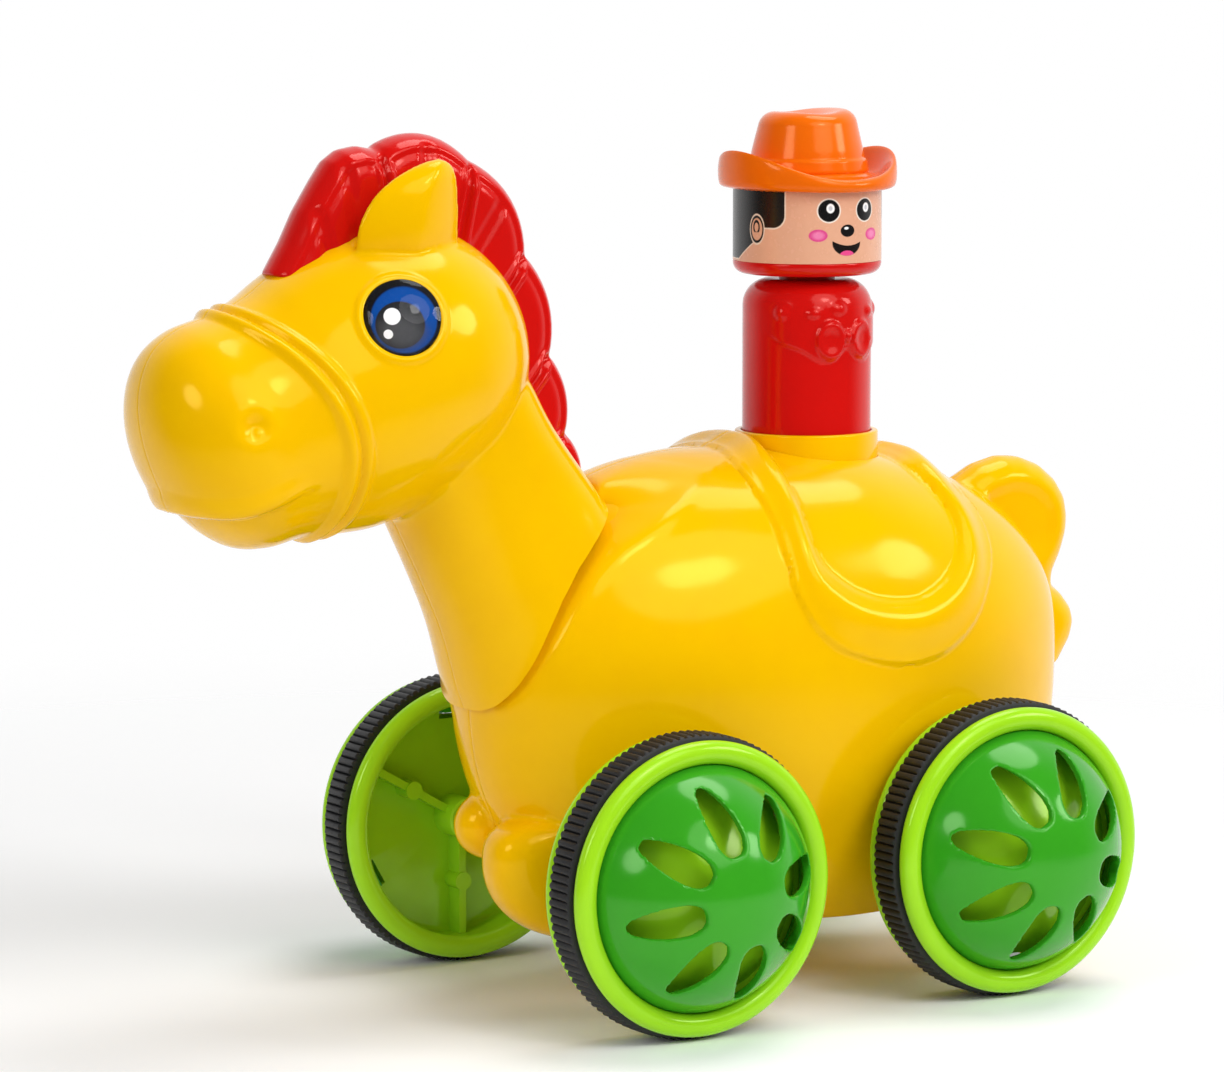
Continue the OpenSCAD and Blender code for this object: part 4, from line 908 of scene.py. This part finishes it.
def facePrint():
    # printed film: flat inks on skin colour
    material, tree, shader = newMaterial("facePrint")
    place = addNode(tree, "UVMap", uv_map="mmMap").outputs["UV"]
    colour = printGround(tree, shader, face)
    sides = addNode(tree, "VectorMath", {0: place}, operation="ABSOLUTE").outputs[0]
    split = addNode(tree, "SeparateXYZ", {"Vector": sides})
    around, level = split.outputs["X"], split.outputs["Y"]
    x, y, curve = face["temple"]
    room = addNode(tree, "VectorMath", {0: (x, y, 0), 1: sides}, operation="SUBTRACT")
    room = addNode(tree, "VectorMath", {0: room.outputs[0], 1: (0, 0, 0)}, operation="MAXIMUM")
    corner = addNode(tree, "VectorMath", {0: room.outputs[0]}, operation="LENGTH").outputs["Value"]
    low = addNode(tree, "MapRange", {"Value": around, **face["nape"]}).outputs["Result"]
    below, before, under = (
        addNode(tree, "Math", {0: edge, 1: value}, operation="SUBTRACT").outputs[0]
        for edge, value in ((low, level), (face["behind"], around), (face["curlLow"], level)))
    for hexColour, edge in face["hair"]:
        colour = printInk(tree, colour, hexColour, (corner, curve + edge, 0.08))
        colour = printInk(tree, colour, hexColour, (before, edge, 0.08), (below, edge, 0.08))
    colour = printOvals(tree, sides, colour, face["pairs"])
    curl = ovalReach(tree, sides, *face["curl"])
    colour = printInk(tree, colour, "#1C1512", (curl, 1.0, 0.06), (under, 0, 0.15))
    colour = printInk(tree, colour, "#E5A988", (curl, 0.6, 0.06))
    colour = printOvals(tree, place, colour, face["single"])
    square = addNode(tree, "Math", {0: around, 1: around}, operation="MULTIPLY").outputs[0]
    lip = addNode(tree, "Math", {0: square, 1: face["lipCurve"], 2: level}, operation="MULTIPLY_ADD")
    mouth = (ovalReach(tree, place, *face["smile"]), 1.0, 0.04), (lip.outputs[0], face["lipAt"], 0.06)
    colour = printInk(tree, colour, "#17100F", *mouth)
    colour = printInk(tree, colour, "#EC4C8E", *mouth, (ovalReach(tree, place, *face["tongue"]), 1.0, 0.06))
    tree.links.new(colour, shader.inputs["Base Color"])
    shader.inputs["IOR"].default_value = 1.5
    return material


wrap = bmesh.new()
wrapMiddle = Vector((rider["x"], 0, (face["high"] + face["cupTop"]) / 2))
bmesh.ops.create_cone(wrap, cap_ends=False, segments=144, radius1=outside * mm, radius2=outside * mm,
                      depth=(face["high"] - face["cupTop"]) * mm, matrix=Matrix.Translation(wrapMiddle * mm))
bmesh.ops.recalc_face_normals(wrap, faces=wrap.faces)
bmesh.ops.solidify(wrap, geom=wrap.faces[:], thickness=face["wrap"] * mm)
bmesh.ops.recalc_face_normals(wrap, faces=wrap.faces)
wrapMap = wrap.loops.layers.uv.new("mmMap")
for f in wrap.faces:
    middle = aboutRider(f.calc_center_median() / mm)[0]
    for loop in f.loops:
        turn, z = aboutRider(loop.vert.co / mm)
        turn += 360 * round((middle - turn) / 360)
        loop[wrapMap].uv = (math.radians(turn) * outside, z)
makePiece("faceWrap", wrap, facePrint(), "rider", "face_wrap", 40)

# hat: a creased crown with a band, the brim's sides curled up
hat = {"z": 161.2, "seat": 15.35, "brim": 18.3, "brimFrom": 13, "brimRound": 1.3, "thick": 2.6, "curl": 6.2,
       "crownLow": 12.0, "crownTop": 6.6, "round": 3.6, "tall": 16.1, "dent": (1.3, 4, 8), "dentFrom": 9,
       "lean": 0.04, "bandAt": (3.6, 6.2), "band": 0.4}
hatForm = [(0, 1.8), (hat["seat"], 1.8), (hat["seat"], 0.2), (hat["seat"] + 0.3, 0)]
hatForm += roundTurn(hat["brim"] - hat["brimRound"], hat["brimRound"], hat["brimRound"], -90, 90, 10)
hatForm += [(15.4, hat["thick"]), (13.4, hat["thick"] + 0.2), (hat["crownLow"] + 0.2, hat["thick"] + 0.9),
            (hat["crownLow"], 4.6), (hat["crownLow"] - 0.6, 8)]
hatForm += roundTurn(hat["crownTop"], hat["tall"] - hat["round"], hat["round"], 8, 90, 10)
hatForm += [(4, hat["tall"]), (0, hat["tall"])]
hatTurned = turned(hatForm)


def hatPlace(t, a):
    x, y, z = hatTurned(t, a)
    dx = x - rider["x"]
    out = math.hypot(dx, y)
    if out > hat["brimFrom"] and z < 3:      # the sides turn up like a gutter, full underneath
        k = (out - hat["brimFrom"]) / (hat["brim"] - hat["brimFrom"])
        up = abs(math.cos(a)) ** 2.3 * ease(0.2, 1, k) ** 1.3
        z += hat["curl"] * up * (0.12 + 0.88 * ease(0.3, 2.3, z))
    if z > hat["dentFrom"]:      # a long shallow dent in the top, which leans
        deep, wide, long = hat["dent"]
        k = ease(hat["dentFrom"], hat["tall"], z)
        z -= deep * k * math.exp(-(dx / wide) ** 2 - (y / long) ** 2)
        z -= hat["lean"] * dx * k
    return x, y, hat["z"] + z


def hatBand(p, normal):
    out = math.hypot(p.x - rider["x"], p.y)
    z = p.z - hat["z"]
    low, high = hat["bandAt"]
    if not 9 < out < 12.6 or not 2 < z < 8:
        return 0
    return hat["band"] * ease(low - 0.2, low + 0.2, z) * (1 - ease(high - 0.2, high + 0.2, z))


hatShape = shaped(144, 176, hatPlace)
emboss(hatShape, hatBand)
makePiece("hat", hatShape, orangePlastic, "rider", "hat", 50)

# horse's eyes: printed discs under clear domes
eye = {
    "radius": 7.5, "deep": 5.6, "top": 0.2, "dome": 2.0, "edge": 0.15,
    "ground": ("#0E0E10", "#141417"), "dotMm": 0.8, "gloss": (0.22, 0.32),
    # blue iris, pupil with a glow, two glints: place, half sizes, softness and ink
    "ovals": ((0.28, -0.5, 6.3, 6.4, 0.04, "#084A9E"), (-0.5, -1.5, 4.7, 4.5, 0.03, "#262628"),
              (-0.3, -3.0, 4.2, 3.0, 0.6, "#505052"), (-1.93, 0.17, 1.6, 1.6, 0.04, "#FFFFFF"),
              (-2.79, -3.2, 0.9, 0.9, 0.04, "#FFFFFF")),
}


def eyePrint():
    # printed disc: inks on black, which stays as an outline
    material, tree, shader = newMaterial("eyePrint")
    place = addNode(tree, "UVMap", uv_map="mmMap").outputs["UV"]
    colour = printOvals(tree, place, printGround(tree, shader, eye), eye["ovals"])
    tree.links.new(colour, shader.inputs["Base Color"])
    shader.inputs["Specular IOR Level"].default_value = 0.04      # the dome lies on the ink
    return material


def clearDome():
    # clear polystyrene dome, polished, with the faintest moulding waves
    material, tree, shader = newMaterial("clearDome")
    place = addNode(tree, "TexCoord").outputs["Object"]
    wave = addNode(tree, "TexNoise", {"Vector": place, "Scale": 1 / (5 * mm), "Detail": 1.0})
    gloss = addNode(tree, "MapRange", {"Value": wave.outputs["Fac"], "To Min": 0.02, "To Max": 0.06})
    tree.links.new(gloss.outputs["Result"], shader.inputs["Roughness"])
    shader.inputs["Base Color"].default_value = linear("#FFFFFF")
    shader.inputs["Transmission Weight"].default_value = 1.0
    shader.inputs["IOR"].default_value = 1.3
    return material


eyeInk, eyeClear = eyePrint(), clearDome()
for name, side in (("left", 1), ("right", -1)):
    facing = Vector((eyeFacing.x, side * eyeFacing.y, eyeFacing.z))
    centre = Vector((eyeSpot.x, side * eyeSpot.y, eyeSpot.z))
    upward = (Vector((0, 0, 1)) - facing * facing.z).normalized()
    backward = upward.cross(facing) * side
    disc = bmesh.new()
    rod(disc, centre - facing * eye["deep"], centre + facing * eye["top"], eye["radius"], 96)
    rimEdges = [e for e in disc.edges if all(len(v.link_edges) == 3 for v in e.verts)
                and e.calc_face_angle(0) > 1]
    bmesh.ops.bevel(disc, geom=rimEdges, offset=eye["edge"] * mm, segments=2, profile=0.5, affect="EDGES",
                    material=-1)
    discMap = disc.loops.layers.uv.new("mmMap")
    for f in disc.faces:
        for loop in f.loops:
            away = loop.vert.co / mm - centre
            loop[discMap].uv = (away.dot(backward), away.dot(upward))
    makePiece(name + "Eye", disc, eyeInk, "head", name + "_eye", 40)
    curve = (eye["radius"] ** 2 + eye["dome"] ** 2) / (2 * eye["dome"])
    base = centre + facing * (eye["top"] - 0.05)

    def domePlace(t, a):
        out = eye["radius"] * math.sin(math.pi * t)
        tall = math.sqrt(curve * curve - out * out) - curve + eye["dome"] if t < 0.5 else 0
        return base + (backward * math.cos(a) + upward * math.sin(a)) * out + facing * tall
    makePiece(name + "EyeDome", shaped(64, 40, domePlace), eyeClear, "head", name + "_eye_lens")

# saddle collar: the rider's guide, a slim ring above the back
collar = {"outer": 14.7, "bore": 13.45, "low": 78, "top": 111.9, "floor": 2, "edge": 0.4, "lug": (4, 18, 86)}
guide = [(0, collar["low"]), (collar["outer"], collar["low"])]
guide += roundTurn(collar["outer"] - collar["edge"], collar["top"] - collar["edge"], collar["edge"], 0, 90, 4)
guide += [(collar["bore"] + 0.15, collar["top"]), (collar["bore"], collar["top"] - 0.2),
          (collar["bore"], collar["low"] + collar["floor"]), (0, collar["low"] + collar["floor"])]
ringForm = bmesh.new()
lathe(ringForm, guide, 160)
bmesh.ops.translate(ringForm, verts=ringForm.verts, vec=(rider["x"] * mm, 0, 0))
lugR, lugOut, lugZ = collar["lug"]
lugIn = collar["bore"] + 0.4
for side in (1, -1):
    rod(ringForm, (rider["x"], side * lugIn, lugZ), (rider["x"], side * lugOut, lugZ), lugR, 32)
makePiece("saddleCollar", ringForm, yellowPlastic, "body", "saddle_collar", 40)

# wheels: lime rims with ribs inside and a bead outside, ribbed tyres, green domed caps with petal slots
wheel = {
    "gap": 40, "height": 30, "at": (("front", 16, 12.5), ("rear", -60, -15)),
    "hub": 4.4, "web": (6.3, 8.3), "drum": 24.6, "seat": 26.6, "seatEnds": (1.1, 7.8),
    "bead": (26.75, 2.3, 1.9), "beadFoot": 28.2, "beadOut": 9.4, "beadIn": -0.8, "domeFrom": 22, "dome": 11,
    "ribs": (30, 150, 270), "rib": (1.6, 2.0), "boss": (13.5, 1.9), "windows": (90, 210, 330),
    "window": (22.4, 4, 6), "tyre": 30,
    "tread": [(29.4, 1.2), (30, 1.5), (30, 7.0), (29.6, 7.5), (29.2, 7.75)],
    "fit": (26.65, 1.25, 7.75), "lugs": 110, "lugDeep": 0.95,
}
cap = {"radius": 24.75, "tall": 18.5, "wall": 1.6, "petals": 8, "slot": (15.2, 6.2, 3.1, 0.2),
       "slotRound": 0.82, "tab": (22.7, 1.8, 5, 5.4), "tabIn": 0.7, "cell": 0.36, "softening": 4}
inFace, outFace = wheel["web"]
beadAt, beadWide, beadTall = wheel["bead"]
seatIn, seatOut = wheel["seatEnds"]
rimForm = [(0, -0.8), (wheel["hub"] - 0.4, -0.8), (wheel["hub"], -0.4), (wheel["hub"], inFace)]
rimForm += roundTurn(wheel["drum"] - 1, inFace - 1, 1, 90, 0, 4)
rimForm += roundTurn(beadAt, wheel["beadIn"], beadWide, 180, 405, 20, beadTall)
rimForm += [(wheel["beadFoot"], seatIn), (wheel["seat"], seatIn), (wheel["seat"], seatOut),
            (wheel["beadFoot"], seatOut)]
rimForm += roundTurn(beadAt, wheel["beadOut"], beadWide, -45, 180, 20, beadTall)
rimForm += [(beadAt - beadWide, outFace), (wheel["domeFrom"], outFace)]
for k in range(1, 13):
    out = 1 - k / 12
    rimForm.append((wheel["domeFrom"] * out, outFace + wheel["dome"] * (1 - out ** 2)))
rim = bmesh.new()
lathe(rim, rimForm, 144)
ribs, windows = bmesh.new(), bmesh.new()
ribThick, ribLow = wheel["rib"]
bossAt, bossWide = wheel["boss"]
for turn in wheel["ribs"]:
    reach = wheel["drum"] - wheel["hub"] + 1.4
    block(ribs, turn, (wheel["hub"] + reach / 2 - 0.7, 0, (ribLow + inFace + 0.5) / 2),
          (reach, ribThick, inFace + 0.5 - ribLow))
    boss = Matrix.Rotation(math.radians(turn), 4, "Z") @ Vector((bossAt, 0, 0))
    rod(ribs, boss + Vector((0, 0, ribLow - 0.4)), boss + Vector((0, 0, inFace + 0.6)), bossWide, 32)
windowAt, windowDeep, windowWide = wheel["window"]
for turn in wheel["windows"]:
    block(windows, turn, (windowAt, 0, (inFace + outFace) / 2), (windowDeep, windowWide, 4))
rim = carve(carve(rim, ribs, "UNION"), windows)
tell("rim", rim)

fitAt, fitIn, fitOut = wheel["fit"]
tyre = bmesh.new()
lathe(tyre, [(fitAt, fitIn)] + wheel["tread"] + [(fitAt, fitOut), (fitAt, fitIn)], 6 * wheel["lugs"])
for v in tyre.verts:      # cross ribs with round tops and narrow grooves
    if v.co.xy.length > (wheel["tyre"] - 0.2) * mm:
        u = math.atan2(v.co.y, v.co.x) / (2 * math.pi) * wheel["lugs"] % 1 * 2 - 1
        deep = wheel["lugDeep"] * (1 - math.sqrt(max(0, 1 - u * u)))
        v.co.xy *= 1 - deep / wheel["tyre"]

capRadius = (cap["radius"] ** 2 + cap["tall"] ** 2) / (2 * cap["tall"])
capLow = cap["tall"] - capRadius
shellForm = []
for radius, outer in ((capRadius, True), (capRadius - cap["wall"], False)):
    foot = math.degrees(math.asin(-capLow / radius))
    shellForm += roundTurn(0, capLow, radius, *((90, foot) if outer else (foot, 90)), 40)
shell, slots = bmesh.new(), bmesh.new()
lathe(shell, shellForm, 144)
slotAt, slotLong, slotWide, slotLean = cap["slot"]
petal = []
for k in range(40):      # narrower at its outer end
    c, s = math.cos(2 * math.pi * k / 40), math.sin(2 * math.pi * k / 40)
    across = math.copysign(slotWide * abs(s) ** cap["slotRound"], s) * (1 - slotLean * c)
    petal.append(Vector((slotAt + slotLong * c, across, 0)) * mm)
for k in range(cap["petals"]):
    opening = slots.faces.new([slots.verts.new(p) for p in petal])
    spin = Matrix.Rotation(2 * math.pi * k / cap["petals"], 3, "Z")
    bmesh.ops.rotate(slots, verts=opening.verts, matrix=spin)
    pull(slots, opening, (0, 0, 40 * mm))
bmesh.ops.recalc_face_normals(slots, faces=slots.faces)
shell = fuse(carve(shell, slots), cap["cell"], cap["softening"])
bmesh.ops.translate(shell, verts=shell.verts, vec=(0, 0, outFace * mm))
tabAt, *tabSize = cap["tab"]
for which, x, phase in wheel["at"]:
    for side, hand in ((1, "left"), (-1, "right")):
        seat = (Matrix.Translation(Vector((x, side * wheel["gap"], wheel["height"])) * mm)
                @ Matrix.Rotation(math.radians(-90 * side), 4, "X"))
        dome = shell.copy()
        bmesh.ops.rotate(dome, verts=dome.verts, matrix=Matrix.Rotation(math.radians(phase), 3, "Z"))
        for turn in wheel["windows"]:
            block(dome, turn, (tabAt, 0, outFace - cap["tabIn"]), tabSize)
        for part, form, material, slot in (("Rim", rim.copy(), limePlastic, "lime_plastic"),
                                           ("Tyre", tyre.copy(), blackRubber, "tyre_rubber"),
                                           ("Cap", dome, greenPlastic, "green_plastic")):
            bmesh.ops.transform(form, verts=form.verts, matrix=seat)
            makePiece(which + hand.capitalize() + part, form, material, which + "_wheels",
                      which + "_" + hand + "_" + part.lower(), 40)
for form in (rim, tyre, shell):
    form.free()

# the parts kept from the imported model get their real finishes
finishes = {
    platedSteel: ("axle", "shaft", "pin", "screws", "spring"), whiteAcetal: ("gear", "rack"),
    greyAcetal: ("plate", "arm"),
}
finished = 0
for name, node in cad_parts.items():
    for material, endings in finishes.items():
        if name.endswith(endings):
            for place in node.material_slots:
                place.link = "OBJECT"
                place.material = material
                finished += 1
print("kept parts finished:", finished)

# studio: white tent, a pale floor that fades into it, soft boxes
studio = {
    "floor": "#FFFFFF", "fade": (0.17, 0.5), "tent": 0.38, "room": 0.06,
    "boxes": [((-0.1, 1.1, 0.98), (0, 0, 0.06), 1.1, 7.2), ((-0.099, 1.084, 0.966), (0, 0, 0.06), 0.32, 2.2),
              ((-0.45, 0.0, 1.4), (-0.02, 0, 0.1), 0.8, 7.2),
              ((1.2, 0.35, 0.62), (0, 0, 0.1), 0.5, 3.4), ((-0.9, 0.9, 0.7), (-0.05, 0, 0.08), 0.45, 4)],
}
floor = bmesh.new()
bmesh.ops.create_circle(floor, cap_ends=True, segments=96, radius=1.2)
floorMesh = bpy.data.meshes.new("floor")
floor.to_mesh(floorMesh)
floor.free()
addObject("floor", floorMesh)
paper, tree, shader = newMaterial("paperSweep")
shader.inputs["Base Color"].default_value = linear(studio["floor"])
shader.inputs["Roughness"].default_value = 0.9
spot = addNode(tree, "TexCoord").outputs["Object"]
far = addNode(tree, "VectorMath", {0: spot}, operation="LENGTH")
fade = addNode(tree, "MapRange", {
    "Value": far.outputs["Value"], "From Min": studio["fade"][0], "From Max": studio["fade"][1]},
    interpolation_type="SMOOTHSTEP")
clear = addNode(tree, "BsdfTransparent")
mix = addNode(tree, "MixShader", {0: fade.outputs["Result"], 1: shader.outputs[0], 2: clear.outputs[0]})
tree.links.new(mix.outputs[0], tree.nodes["Material Output"].inputs["Surface"])
floorMesh.materials.append(paper)

world = bpy.data.worlds.new("tent")
scene.world = world
world.use_nodes = True
tree = world.node_tree
path = addNode(tree, "LightPath")
heading = addNode(tree, "TexCoord").outputs["Generated"]
away = (Vector(view["look"]) - Vector(view["stand"])).normalized()
ahead = addNode(tree, "VectorMath", {0: heading, 1: away}, operation="DOT_PRODUCT")
backdrop = addNode(tree, "MapRange", {
    "Value": ahead.outputs["Value"], "From Min": -0.2, "From Max": 0.5,
    "To Min": studio["room"], "To Max": 1.0},
    interpolation_type="SMOOTHSTEP")      # white behind the object, a dimmer room before it
seen = addNode(tree, "Math", {
    0: path.outputs["Is Camera Ray"], 1: path.outputs["Is Transmission Ray"]}, operation="MAXIMUM")
soft = addNode(tree, "Mix", {
    0: path.outputs["Is Glossy Ray"], 2: studio["tent"], 3: backdrop.outputs["Result"]})
level = addNode(tree, "Mix", {0: seen.outputs[0], 2: soft.outputs[0], 3: 1.0})
tree.nodes["Background"].inputs["Color"].default_value = (1, 1, 1, 1)
tree.links.new(level.outputs[0], tree.nodes["Background"].inputs["Strength"])

for k, (stand, look, size, power) in enumerate(studio["boxes"]):
    lamp = bpy.data.lights.new("softBox" + str(k), "AREA")
    lamp.shape = "DISK"
    lamp.size = size
    lamp.energy = power
    aim(addObject("softBox" + str(k), lamp), stand, look)
print("studio ready")
